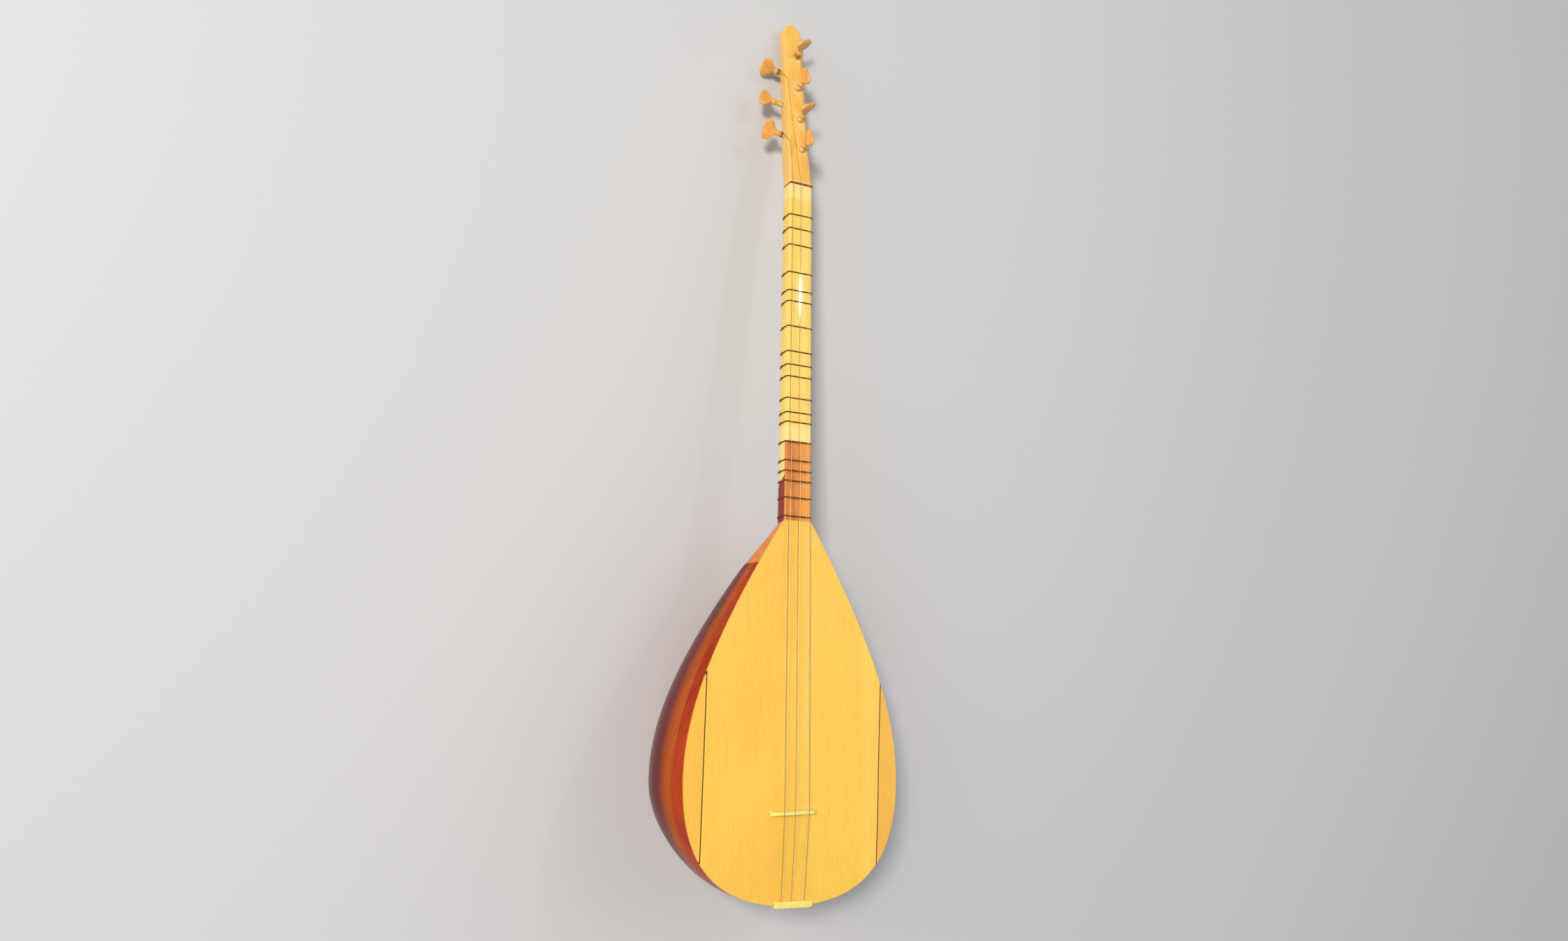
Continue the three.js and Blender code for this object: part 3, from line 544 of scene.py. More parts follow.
def spruce(name, seed, tint=(1, 1, 1)):
    """Pale quarter-sawn spruce: year lines that wander a little, silk across them, clear lacquer."""
    material, tree, shader = new_material(name)
    g = Graph(tree)
    space = grain_space(g, None, seed)
    drift = g.noise(space, 6, 0.8, 2, 0.5)
    wander = g.node("ShaderNodeCombineXYZ")
    g.link(g.sway(drift, 0.012), wander.inputs[0])
    wandering = g.node("ShaderNodeVectorMath", operation="ADD")
    g.link(space, wandering.inputs[0])
    g.link(wander.outputs[0], wandering.inputs[1])
    lines = g.node("ShaderNodeTexWave", wave_type="BANDS", bands_direction="X", wave_profile="SAW")
    lines.inputs["Scale"].default_value = YEAR_LINES
    lines.inputs["Distortion"].default_value = 1.6
    lines.inputs["Detail"].default_value = 2
    lines.inputs["Detail Scale"].default_value = 0.25
    g.link(g.place(wandering.outputs[0], (1, 0.02, 0.02)), lines.inputs["Vector"])
    years = g.ramp(lines.outputs["Fac"], [(0.55, grey(0)), (0.93, grey(1)), (1.0, grey(0.2))])
    broad = g.noise(space, 26, 1.0, 3, 0.5)
    silk = g.noise(space, 300, 45, 3, 0.65)
    fibres = g.noise(space, 1500, 20, 2, 0.5)
    color = g.ramp(broad, [(0.32, (0.92, 0.54, 0.055)), (0.5, (0.96, 0.60, 0.07)),
                           (0.68, (0.99, 0.66, 0.10))])
    warmth = g.noise(space, 5.5, 3.0, 3, 0.55)
    color = g.mix(g.mask(warmth, 0.36, 0.62, 0.75, 0), color, (0.93, 0.49, 0.05))
    strength = g.math("MULTIPLY", years, g.mask(broad, 0.35, 0.65, 0.10, 0.34))
    color = g.mix(strength, color, (0.78, 0.37, 0.035))
    color = g.mix(g.mask(silk, 0.42, 0.75, 0, 0.22), color, (0.99, 0.74, 0.16))
    color = g.mix(g.mask(fibres, 0.3, 0.5, 0.14, 0), color, (0.66, 0.34, 0.05))
    color = g.mix(1.0, color, tint, "MULTIPLY")
    g.link(color, shader.inputs["Base Color"])
    g.link(g.math("ADD", g.math("MULTIPLY", silk, 0.12), 0.36), shader.inputs["Roughness"])
    height = g.total((years, -0.6), (fibres, 0.4))
    g.link(g.bump(height, 0.12, 0.00015), shader.inputs["Normal"])
    shader.inputs["Coat Weight"].default_value = 0.25
    shader.inputs["Coat Roughness"].default_value = 0.25
    return material


def metal(name, color, rough, winds=None):
    """String metal: drawn wire, or with winds, fine turns of wrap wire."""
    material, tree, shader = new_material(name)
    g = Graph(tree)
    space = grain_space(g)
    tarnish = g.noise(space, 60, 60, 3, 0.6)
    darker = tuple(c * 0.72 for c in color)
    g.link(g.ramp(tarnish, [(0.35, darker), (0.6, color)]), shader.inputs["Base Color"])
    g.link(g.math("ADD", g.math("MULTIPLY", tarnish, 0.2), rough), shader.inputs["Roughness"])
    if winds:
        turns = g.node("ShaderNodeTexWave", wave_type="BANDS", bands_direction="Y", wave_profile="SIN")
        turns.inputs["Scale"].default_value = winds
        g.link(space, turns.inputs["Vector"])
        g.link(g.bump(turns.outputs["Fac"], 0.6, 0.00008), shader.inputs["Normal"])
    shader.inputs["Metallic"].default_value = 1
    return material


def line_material():
    """The tied line of the frets: dark, slightly mottled nylon."""
    material, tree, shader = new_material("fret_line")
    g = Graph(tree)
    mottle = g.noise(grain_space(g), 400, 400, 3, 0.6)
    color = g.ramp(mottle, [(0.35, (0.12, 0.026, 0.007)), (0.65, (0.23, 0.058, 0.014))])
    g.link(color, shader.inputs["Base Color"])
    g.link(g.math("ADD", g.math("MULTIPLY", mottle, 0.2), 0.3), shader.inputs["Roughness"])
    g.link(g.bump(mottle, 0.2, 0.00005), shader.inputs["Normal"])
    shader.inputs["Specular IOR Level"].default_value = 0.3
    return material


NECK_WOOD = wood("light_neck_wood", (1.0, 0.75, 0.135), (0.93, 0.55, 0.075), (0.70, 0.34, 0.04), seed=2.1,
                 figure=0.3, stripe=90, rough=0.35, coat=0.6, coat_rough=0.06, edge_highlight=0.5, pores=0.2)
HEAD_WOOD = wood("light_head_wood", (0.99, 0.64, 0.125), (0.90, 0.44, 0.06), (0.60, 0.26, 0.03), seed=3.4,
                 figure=0.3, stripe=80, rough=0.36, coat=0.6, coat_rough=0.15, edge_highlight=0.5, pores=0.2)
ROOT_WOOD = wood("red_root_wood", (0.36, 0.024, 0.010), (0.20, 0.010, 0.005), (0.1, 0.008, 0.004), seed=4.2,
                 figure=0.4, stripe=120, rough=0.34, coat=0.2, specular=0.15)
OVERLAY_WOOD = wood("overlay_wood", (0.97, 0.42, 0.05), (0.68, 0.20, 0.02), (0.3, 0.07, 0.015), seed=5.3,
                    figure=0.62, stripe=95, rough=0.34, coat=0.4, streak=(0.50, 0.13, 0.015))
BLOCK_WOOD = wood("block_wood", (0.90, 0.31, 0.03), (0.70, 0.19, 0.018), (0.4, 0.12, 0.03), seed=6.7,
                  figure=0.4, stripe=80, rough=0.34, coat=0.2, specular=0.2)
PEG_WOOD = wood("peg_wood", (0.95, 0.52, 0.11), (0.74, 0.31, 0.05), (0.4, 0.16, 0.04), seed=7.1,
                figure=0.45, stripe=160, rough=0.45, coat=0.2, coat_rough=0.3, edge_highlight=0.3)
BRIDGE_WOOD = wood("bridge_wood", (0.97, 0.88, 0.26), (0.90, 0.74, 0.17), (0.6, 0.35, 0.12), seed=8.4,
                   figure=0.3, stripe=150, rough=0.5, coat=0.1, coat_rough=0.4)
NUT_WOOD = wood("nut_wood", (0.26, 0.085, 0.022), (0.15, 0.042, 0.012), (0.06, 0.02, 0.01), seed=9.1,
                figure=0.4, stripe=200, rough=0.45, specular=0.2)
DARK_WOOD = wood("dark_inlay_wood", (0.12, 0.045, 0.016), (0.05, 0.018, 0.008), (0.02, 0.01, 0.005), seed=9.9,
                 figure=0.4, stripe=200, rough=0.4, coat=0.3, coat_rough=0.2)
# The pieces inside the bowl are shown as the CAD model has them, with this wood on them.
HIDDEN_PIECES = ("tail_block", "rim_lining_left", "rim_lining_right",
                 "soundboard_brace_1", "soundboard_brace_2")
INNER_WOOD = wood("inner_wood", (0.66, 0.44, 0.22), (0.5, 0.31, 0.14), (0.3, 0.18, 0.08), seed=10.3,
                  rough=0.75)
FRET_MATERIAL = line_material()
STEEL = metal("plain_steel_string", (0.97, 0.88, 0.62), 0.45)
WOUND = metal("wound_string", (0.46, 0.33, 0.13), 0.42, winds=900)

# ---------------- outline of the body

SHOULDER = [(NECK_ROOT_HALF, BODY_TOP), (94, 182), (HALF_WIDTH, 104), (HALF_WIDTH, WIDEST)]
TAIL = [(HALF_WIDTH, WIDEST), (HALF_WIDTH, -50.7), (81.8, BODY_TAIL), (0, BODY_TAIL)]


def outline_at(t):
    """t is 0 at the neck, 1 at the widest point and 2 at the tail."""
    return bezier(SHOULDER, t) if t < 1 else bezier(TAIL, t - 1)


def parameter_at_y(y):
    """The place along the outline at a Y, found by halving."""
    low, high = 0.0, 2.0
    for _ in range(50):
        middle = (low + high) / 2
        if outline_at(middle).y > y:
            low = middle
        else:
            high = middle
    return low


def clip(points, seam, offset, side):
    """The part of a closed outline to the right (side 1) or the left (side -1) of a line along a seam."""
    x, lean = SEAMS[seam]

    def beyond(p):
        return side * (p.x - x - offset - (p.y - SEAM_AT) * math.tan(lean))

    kept = []
    for p, q in zip(points, points[1:] + points[:1]):
        here, there = beyond(p), beyond(q)
        if here >= 0:
            kept.append(p)
        if (here >= 0) != (there >= 0):
            kept.append(p.lerp(q, here / (here - there)))
    return kept


OUTLINE_STEPS = 160


def board_outline():
    right = [outline_at(t) for t in spread(0, 2, OUTLINE_STEPS)]
    left = [Vector((-p.x, p.y)) for p in reversed(right[:-1])]
    return right + left


LONGEST_RIM_EDGE = 20   # a longer edge of an outline is a joint to another board


def build_board(name, outline, look):
    """A flat board whose outer rim is eased; its joints to the other boards stay square."""
    bm = bmesh.new()
    top = [bm.verts.new((p.x, p.y, 0)) for p in outline]
    bottom = [bm.verts.new((p.x, p.y, -BOARD)) for p in outline]
    bm.faces.new(top)
    bm.faces.new(list(reversed(bottom)))
    weight = bm.edges.layers.float.new("bevel_weight_edge")
    for i, p in enumerate(outline):
        j = (i + 1) % len(outline)
        bm.faces.new((bottom[i], bottom[j], top[j], top[i]))
        joint = (outline[j] - p).length > LONGEST_RIM_EDGE
        bm.edges.get((top[i], top[j]))[weight] = 0.0 if joint else 1.0
    board = make_piece(name, bm, look)
    modifier = board.modifiers.new("eased_rim", "BEVEL")
    modifier.width = RIM_EASE * MM
    modifier.segments = 3
    modifier.limit_method = "WEIGHT"
    modifier.harden_normals = True


def build_soundboard():
    outline = board_outline()
    center = clip(clip(notch_for_holder(outline), "left", SEAM_HALF, 1), "right", -SEAM_HALF, -1)
    build_board("soundboard_center", center, spruce("spruce_center", 0.0))
    # The right wing's tint, darker and more orange than the left's, is painted shade: that side lies away
    # from the light.
    for side, sign, seed, tint in (("left", -1, 1.3, (1, 0.97, 0.9)), ("right", 1, 2.6, (0.96, 0.85, 0.85))):
        strip = clip(clip(outline, side, -SEAM_HALF, 1), side, SEAM_HALF, -1)
        build_board(f"soundboard_inlay_{side}", strip, DARK_WOOD)
        wing = clip(outline, side, sign * SEAM_HALF, sign)
        look = spruce(f"spruce_wing_{side}", seed, tint)
        build_board(f"soundboard_wing_{side}", wing, look)


def notch_for_holder(outline):
    """The outline with a rectangle taken out of the tail for the string holder."""
    half, front = HOLDER_HALF + 0.1, HOLDER_FRONT + 0.1
    kept = [p for p in outline if not (abs(p.x) < half and p.y < front)]
    split = next(i for i, p in enumerate(kept) if p.x < 0)
    edge_y = next(p.y for p in outline if p.x <= half and p.y < 0)
    corners = [Vector((half, edge_y)), Vector((half, front)), Vector((-half, front)), Vector((-half, edge_y))]
    return kept[:split] + corners + kept[split:]


# ---------------- bowl


def section(t):
    """A slice of the bowl: its Y, half-width, drop and centre below the board, and the angle at its rim."""
    half, y = outline_at(t)
    swell = smoothstep(y, *BULGE_STARTS) * (1 - smoothstep(y, *BULGE_ENDS))
    bulge = 1 + BOWL_BULGE * swell
    depth = BOWL_DEPTH * (half / HALF_WIDTH) ** BOWL_FULLNESS
    lift = math.sqrt(1 - 1 / bulge**2)
    down = depth / (1 + lift)
    return y, bulge * half, down, RIM - lift * down, math.pi / 2 + math.asin(lift)


def bowl_surface(t, girth):
    """A point of the outside; girth is -1 at the left rim, 0 at the keel and 1 at the right rim."""
    y, across, down, centre, rim = section(t)
    angle = girth * rim
    return Vector((across * math.sin(angle), y, centre - down * math.cos(angle)))


def bowl_point(t, girth, inset):
    """A point so far inside the outer surface, and level with it at the rims."""
    step = 1e-3
    along = bowl_surface(t + step, girth) - bowl_surface(t - step, girth)
    around = bowl_surface(t, girth + step) - bowl_surface(t, girth - step)
    inward = around.cross(along).normalized()
    if abs(girth) > 1 - step:
        inward.z = 0
        inward.normalize()
    point = bowl_surface(t, girth)
    if inward.dot(Vector((0, WIDEST, RIM)) - point) < 0:
        inward.negate()
    return point + inward * inset


def stave_edges(index):
    full = (2 - 2 * RIM_STAVE) / (STAVES - 2)
    edges = [-1] + [-1 + RIM_STAVE + k * full for k in range(STAVES - 1)] + [1]
    return edges[index], edges[index + 1]


STAVE_LOOKS = {
    "red": ((0.48, 0.050, 0.003), (0.29, 0.017, 0.002), (0.10, 0.008, 0.002)),
    "brown": ((0.50, 0.100, 0.007), (0.32, 0.042, 0.004), (0.09, 0.012, 0.003)),
}
# The colour of the shade painted across two staves, where the bowl turns away from the light.
STAVE_SHADE = (0.12, 0.006, 0.006)
SHADED_STAVES = (1, STAVES - 2)  # the two with painted shade, darker downwards
STAVE_STEPS = 90
STAVE_ACROSS = 8


def stave_girths(index, t):
    """Where the outer points of a stave lie across the bowl, and the length of a girth of 1 there."""
    left, right = stave_edges(index)
    _, across, down, _, rim = section(t)
    size = (across + down) / 2 * rim
    ease = min(STAVE_EASE / size, (right - left) * 0.2)
    a = left if index == 0 else left + STAVE_JOINT / size
    b = right if index == STAVES - 1 else right - STAVE_JOINT / size
    return [a] + spread(a + ease, b - ease, STAVE_ACROSS) + [b], size


def stave_points(index, t, girths):
    """The ring of a stave: its outside from left to right, and its inside back again."""
    sunk = STAVE_EASE * 0.6
    sinks = [0.0] * len(girths)
    if index > 0:
        sinks[0] = sunk
    if index < STAVES - 1:
        sinks[-1] = sunk
    outer = [bowl_point(t, g, sink) for g, sink in zip(girths, sinks)]
    if index == STAVES // 2:
        start, end = outer[1], outer[-2]
        outer[1:-1] = [start.lerp(end, (g - girths[1]) / (girths[-2] - girths[1])) for g in girths[1:-1]]
    a, b = girths[0], girths[-1]
    return outer + [bowl_point(t, g, STAVE) for g in (b, (a + b) / 2, a)]


def stave_mesh(index):
    """A stave whose points know their place in the grain and how far across the stave they lie."""
    left, right = stave_edges(index)
    bm = bmesh.new()
    grain = bm.verts.layers.float_vector.new("grain")
    across = bm.verts.layers.float.new("across")
    rows, travelled, previous = [], 0.0, None
    for t in spread(parameter_at_y(STAVE_TOP), STAVE_END, STAVE_STEPS):
        girths, size = stave_girths(index, t)
        a, b = girths[0], girths[-1]
        centre = bowl_surface(t, (a + b) / 2)
        travelled += (centre - previous).length if previous else 0
        previous = centre
        row = []
        for g, point in zip(girths + [b, (a + b) / 2, a], stave_points(index, t, girths)):
            vertex = bm.verts.new(point)
            vertex[grain] = Vector((g * size * MM, travelled * MM, index * 0.37))
            share = (g - left) / (right - left)
            vertex[across] = share if index * 2 < STAVES else 1 - share
            row.append(vertex)
        rows.append(row)
    return skin(bm, rows)


def build_stave(index):
    kind = "red" if index % 2 == 0 else "brown"
    light, dark, pore = STAVE_LOOKS[kind]
    look = wood(f"{kind}_stave_{index + 1}", light, dark, pore, seed=0.31 * index, attribute="grain",
                figure=0.55, stripe=55, fibre=700, rough=0.34, coat=0.16, coat_rough=0.05, bump=0.06,
                specular=0.12, shade_color=STAVE_SHADE if index in SHADED_STAVES else None)
    name = f"bowl_stave_{index + 1}"
    obj = make_piece(name, stave_mesh(index), look, sharp=40)
    if index == STAVES // 2:
        z = bowl_surface(HOLE_PLACE, 0).z
        cut(obj, loft([[Vector((SOUND_HOLE * math.cos(a), y, z + SOUND_HOLE * math.sin(a)))
                        for a in circle(40)] for y in HOLE_REACH]))


def build_neck_block():
    rings = []
    for t in spread(BLOCK_START, parameter_at_y(STAVE_TOP), 14):
        rings.append([bowl_point(t, g, 0.0) for g in spread(-1, 1, 36)])
    make_piece("neck_block", loft(rings), BLOCK_WOOD)


# ---------------- neck


def arc(cx, cy, rx, ry, start, end, steps):
    return [(cx + rx * math.cos(math.radians(a)), cy + ry * math.sin(math.radians(a)))
            for a in spread(start, end, steps)]


def neck_outline(half, edge, side, belly, fine=6, round_steps=24):
    return (arc(half - edge, -edge, edge, edge, 90, 0, fine)
            + arc(0, -side, half, belly, 0, -180, round_steps)
            + arc(edge - half, -edge, edge, edge, 180, 90, fine))


def neck_at(y, grow=0.0, fine=6, round_steps=24):
    """X and Z around the neck, with Z from its face; grow is how far outside its surface."""
    share = (y - BODY_TOP) / (SCALE - BODY_TOP)
    half = lerp(NECK_ROOT_HALF, NECK_NUT_HALF, share) + grow
    belly = lerp(NECK_BELLY_ROOT, NECK_BELLY_NUT, share) + grow
    outline = neck_outline(half, NECK_EDGE + grow, NECK_SIDE + grow, belly, fine, round_steps)
    return [(x, z + grow) for x, z in outline]


def neck_ring(y, top=None, splice=False):
    """A ring of the neck, cut off flat at top, and leaning back along the splice."""
    ring = []
    for x, z in neck_at(y):
        z = z if top is None else min(z, top)
        at = y + z * SPLICE_SLOPE if splice else y
        ring.append(Vector((x, at, face_height(at) + z)))
    return ring


def build_neck():
    under = -OVERLAY - 0.02
    foot, overlay_end = BODY_TOP + SNUG, OVERLAY_TOP + SNUG
    root = [neck_ring(y, under) for y in spread(foot, BODY_TOP + 12, 2)]
    root.append(neck_ring(SPLICE, under, True))
    bevel(make_piece("neck_root", loft(root), ROOT_WOOD), 0.15)

    shaft = [neck_ring(SPLICE + 0.08, under, True)]
    shaft += [neck_ring(y, under) for y in spread(SPLICE + 12, overlay_end, 3)]
    shaft += [neck_ring(y) for y in spread(overlay_end, SCALE - NUT_LENGTH / 2, 30)]
    bevel(make_piece("neck_shaft", loft(shaft), NECK_WOOD), 0.15)

    rings = []
    for y in spread(foot, OVERLAY_TOP, 12):
        outline = [(x, max(z, -OVERLAY)) for x, z in neck_at(y) if z > -NECK_SIDE]
        outline += [(sign * outline[0][0], -OVERLAY) for sign in (-1, 1)]
        rings.append([Vector((x, y, face_height(y) + z)) for x, z in outline])
    overlay = loft(rings)
    bmesh.ops.remove_doubles(overlay, verts=overlay.verts, dist=1e-4)
    bevel(make_piece("fingerboard_overlay", overlay, OVERLAY_WOOD), 0.12)


def build_nut():
    """A low bar across the neck with a notch for each string."""
    half, shoulder = NECK_NUT_HALF - 0.4, NUT_HEIGHT - 0.3
    outline = [(-half, -NUT_SLOT), (-half, shoulder)]
    for _, x, gauge, *_ in STRINGS:
        notch = gauge / 2 + 0.05
        outline += [(x - notch, NUT_HEIGHT), (x - notch, NUT_HEIGHT - notch), (x, NUT_HEIGHT - 1.6 * notch),
                    (x + notch, NUT_HEIGHT - notch), (x + notch, NUT_HEIGHT)]
    outline += [(half, shoulder), (half, -NUT_SLOT)]
    rings = [[Vector((x, y, z)) for x, z in outline] for y in (-NUT_LENGTH / 2, NUT_LENGTH / 2)]
    shift = Matrix.Translation((0, SCALE, face_height(SCALE)))
    bevel(make_piece("nut", loft(rings), NUT_WOOD, matrix=shift), 0.12)


def build_fret(number, cents):
    """Two turns of line around the neck, side by side, and their knot on the bass side."""
    y = SCALE / 2 ** (cents / 1200)
    outline = neck_at(y, FRET_LINE + FRET_CLEAR, fine=4, round_steps=20)
    bm = bmesh.new()
    for turn in (-1, 1):
        wander = FRET_WANDER * math.sin(number * 2.3 + turn)
        path = [Vector((x, y + turn * FRET_LINE * 0.98 + wander * math.sin(0.2 * x), face_height(y) + z))
                for x, z in outline]
        tube(path, FRET_LINE, 8, bm, closed=True)
    side = -lerp(NECK_ROOT_HALF, NECK_NUT_HALF, (y - BODY_TOP) / (SCALE - BODY_TOP))
    knot_z = face_height(y) - NECK_SIDE + 2
    knot = [Vector((side - KNOT_OUT + KNOT_LEAN * math.cos(a), y + KNOT * math.sin(a),
                    knot_z + KNOT * math.cos(a))) for a in circle(16)]
    tube(knot, FRET_LINE * 0.8, 8, bm, closed=True)
    for sign in (-1, 1):
        tail = [Vector((side - out, y + sign * along, knot_z + up)) for out, along, up in KNOT_TAIL]
        tube(tail, FRET_LINE * 0.75, 8, bm)
    name = f"fret_{number:02d}"
    make_piece(name, bm, FRET_MATERIAL, body=name, sharp=60)


# ---------------- head and pegs


def head_half(along):
    """Half the width of the head: from the neck's, narrowing at the shoulder, to a blunt round tip."""
    beyond = max(0, (along - HEAD_SHOULDER) / (HEAD_LENGTH - HEAD_SHOULDER))
    slim = lerp(HEAD_HALF_SHOULDER, HEAD_HALF_TIP, beyond)
    into_tip = max(0, (along - (HEAD_LENGTH - HEAD_TIP)) / HEAD_TIP)
    rounding = max(0, 1 - into_tip**HEAD_BLUNT) ** (1 / HEAD_BLUNT)
    return lerp(HEAD_HALF_NUT, slim, smoothstep(along, 0, HEAD_SHOULDER)) * rounding


def head_back(along):
    return lerp(HEAD_BACK_NUT, HEAD_BACK_TIP, min(1, along / HEAD_LENGTH))


def head_ring(along, square_end=False):
    half = head_half(along)
    share = smoothstep(along, 0, HEAD_SHOULDER)
    belly = lerp(NECK_BELLY_NUT, HEAD_BELLY, share) * min(1, half / HEAD_HALF_TIP + 0.2)
    edge = min(lerp(NECK_EDGE, HEAD_EDGE, share), half * 0.8)
    outline = neck_outline(half, edge, head_back(along) - belly, belly)
    lean = math.tan(HEAD_TILT) if square_end else 0
    return [Vector((x, along - z * lean, z)) for x, z in outline]


def peg_place(kind, along):
    """Where a peg leaves the wood, the way it points, and how far it reaches into the wood."""
    if kind == "face":
        out = Vector((math.sin(FACE_PEG_SWAY), math.sin(FACE_PEG_LEAN), math.cos(FACE_PEG_LEAN))).normalized()
        return Vector((FACE_PEG_X, along, 0)), out, head_back(along) / out.z - 2.5
    out = Vector((-math.cos(SIDE_PEG_LEAN), math.sin(SIDE_PEG_LEAN), -math.sin(SIDE_PEG_DROP))).normalized()
    half = head_half(along)
    return Vector((-half, along, -SIDE_PEG_DEPTH)), out, 2 * half / -out.x - 1.5


def peg_matrix(kind, along, turn=0.0):
    at, out, _ = peg_place(kind, along)
    swing = Vector((0, 0, 1)).rotation_difference(out)
    turned = swing @ Quaternion((0, 0, 1), math.radians(turn))
    return Matrix.Translation(at) @ turned.to_matrix().to_4x4()


# Half the width and half the thickness of a handle, and the radius of the collar, along the peg.
HANDLE_WIDTH = [(HANDLE_START, 3.2), (12.5, 4.2), (14.7, 7.4), (17.3, 10.7), (19.5, 12.1), (21.5, 12.3),
                (23.5, 11.7), (25, 10.5), (26.2, 8.6), (26.9, 6.6), (HANDLE_END, 4.2)]
HANDLE_DEPTH = [(HANDLE_START, 3.2), (12, 2.8), (16, 2.45), (22, 2.4), (25.5, 2.1), (26.7, 1.5),
                (HANDLE_END, 0.7)]
COLLAR = [(7.2, 3.05), (7.5, 3.2), (7.8, 3.8), (8.3, 4.1), (9.2, 4.15), (9.8, 3.85), (10.2, 3.4)]
HANDLE_DIP = 1.4        # depth of the hollow in the rim of the handle
DIP_WIDTH = 3.5
PEG_SIDES = 40


def peg_ring(z, half_width, half_depth, power=2, dip=0.0):
    """A ring across a peg: round at a power of 2 and squarer above it, hollowed by the dip."""
    ring = []
    for a in circle(PEG_SIDES):
        c, s = math.cos(a), math.sin(a)
        x = math.copysign(abs(c) ** (2 / power), c) * half_width
        y = math.copysign(abs(s) ** (2 / power), s) * half_depth
        sag = dip * math.exp(-(x / DIP_WIDTH) ** 2)
        ring.append(Vector((x, y, z - sag)))
    return ring


def build_peg(name, kind, along, turn, pull):
    reach = peg_place(kind, along)[2]
    shaft = [(-reach, PEG_POINT - 0.4), (-reach + 0.4, PEG_POINT)]
    shaft += list(zip(spread(-reach + 4, 0, 4), spread(PEG_POINT, PEG_SHAFT, 4)))
    rings = [peg_ring(z, r, r) for z, r in shaft + COLLAR]
    for z in spread(HANDLE_START, HANDLE_END, 26):
        power = lerp(2, 5, smoothstep(z, HANDLE_START, 20))
        dip = HANDLE_DIP * smoothstep(z, 22, HANDLE_END)
        rings.append(peg_ring(z, curve_value(HANDLE_WIDTH, z), curve_value(HANDLE_DEPTH, z), power, dip))
    matrix = HEAD @ peg_matrix(kind, along, turn) @ Matrix.Translation((0, 0, pull))
    make_piece(name, loft(rings), PEG_WOOD, body=name, matrix=matrix, sharp=50)


def build_head():
    tip = HEAD_LENGTH - HEAD_TIP
    lengths = spread(NUT_LENGTH / 2 + SNUG, HEAD_SHOULDER, 12) + spread(50, tip, 8)
    lengths += [tip + HEAD_TIP * math.sin(math.radians(a)) for a in spread(6, 80, 13)]
    rings = [head_ring(along) for along in lengths]
    rings[0] = head_ring(lengths[0], square_end=True)
    head = make_piece("peghead", loft(rings), HEAD_WOOD, matrix=HEAD)
    bores = bmesh.new()
    for kind, pegs in PEGS.items():
        for i, (along, turn, pull) in enumerate(pegs, 1):
            build_peg(f"{kind}_peg_{i}", kind, along, turn, pull)
            matrix = HEAD @ peg_matrix(kind, along)
            loft([[matrix @ Vector((PEG_HOLE * math.cos(a), PEG_HOLE * math.sin(a), z))
                   for a in circle(32)] for z in PEG_BORE], bores)
    cut(head, bores)


# ---------------- bridge and string holder


def bridge_outline():
    """The front of the bridge: rounded ends, a narrow slot for each string, and two arches below."""
    half = BRIDGE_LENGTH / 2
    shoulder = BRIDGE_HEIGHT - 0.2
    end = [(-half, 0), (-half + 0.4, shoulder - 2.5), (-half + 0.7, shoulder - 1),
           (-half + 1.6, shoulder - 0.25), (-half + 3, shoulder)]
    outline = list(end)
    for at_bridge, _, gauge, *_ in STRINGS:
        x = at_bridge - BRIDGE_X
        slot, floor = gauge / 2 + 0.12, BRIDGE_HEIGHT - gauge / 2 - SLOT_CLEAR
        outline += [(x - slot, BRIDGE_HEIGHT), (x - slot, floor + 0.1), (x, floor), (x + slot, floor + 0.1),
                    (x + slot, BRIDGE_HEIGHT)]
    outline += [(-x, z) for x, z in reversed(end)]
    for foot in BRIDGE_ARCHES:
        outline += [(foot + ARCH[0] * math.cos(a), ARCH[1] * math.sin(a)) for a in spread(0, math.pi, 12)]
    return outline


def build_bridge():
    rings = []
    for side in (-1, 1):
        rings.append([Vector((x, side * lerp(BRIDGE_FOOT, BRIDGE_CREST, z / BRIDGE_HEIGHT) / 2, z))
                      for x, z in bridge_outline()])
    place = Matrix.Translation((BRIDGE_X, BRIDGE_Y, BRIDGE_LIFT)) @ Matrix.Rotation(BRIDGE_SKEW, 4, "Z")
    bevel(make_piece("bridge", loft(rings), BRIDGE_WOOD, body="bridge", matrix=place), 0.25)


def build_holder():
    """A bar across the tail whose rear corners are rounded, with a hole for each string."""
    low = SNUG - BOARD
    rings = []
    for share in spread(-1, 1, 40):
        x = HOLDER_HALF * math.sin(share * math.pi / 2)
        into = max(0, abs(x) - HOLDER_HALF + HOLDER_CORNER)
        back = HOLDER_BACK + HOLDER_CORNER - math.sqrt(HOLDER_CORNER**2 - into**2)
        rings.append([Vector((x, y, z)) for y, z in (
            (HOLDER_FRONT, low), (HOLDER_FRONT, HOLDER_TOP - 0.6), (HOLDER_FRONT - 0.6, HOLDER_TOP),
            (back + 1.5, HOLDER_TOP), (back + 0.45, HOLDER_TOP - 0.45), (back, HOLDER_TOP - 1.5),
            (back, low))])
    piece = make_piece("string_holder", loft(rings), BRIDGE_WOOD)
    holes = bmesh.new()
    for at_bridge, _, gauge, *_ in STRINGS:
        x, r = at_bridge * HOLDER_SPREAD, gauge / 2 + 0.25
        loft([[Vector((x + r * math.cos(a), y, STRING_AT_HOLDER + r * math.sin(a))) for a in circle(16)]
              for y in (HOLDER_FRONT - 3, HOLDER_FRONT + 3)], holes)
    cut(piece, holes)
    bevel(piece, 0.3)


# ---------------- strings


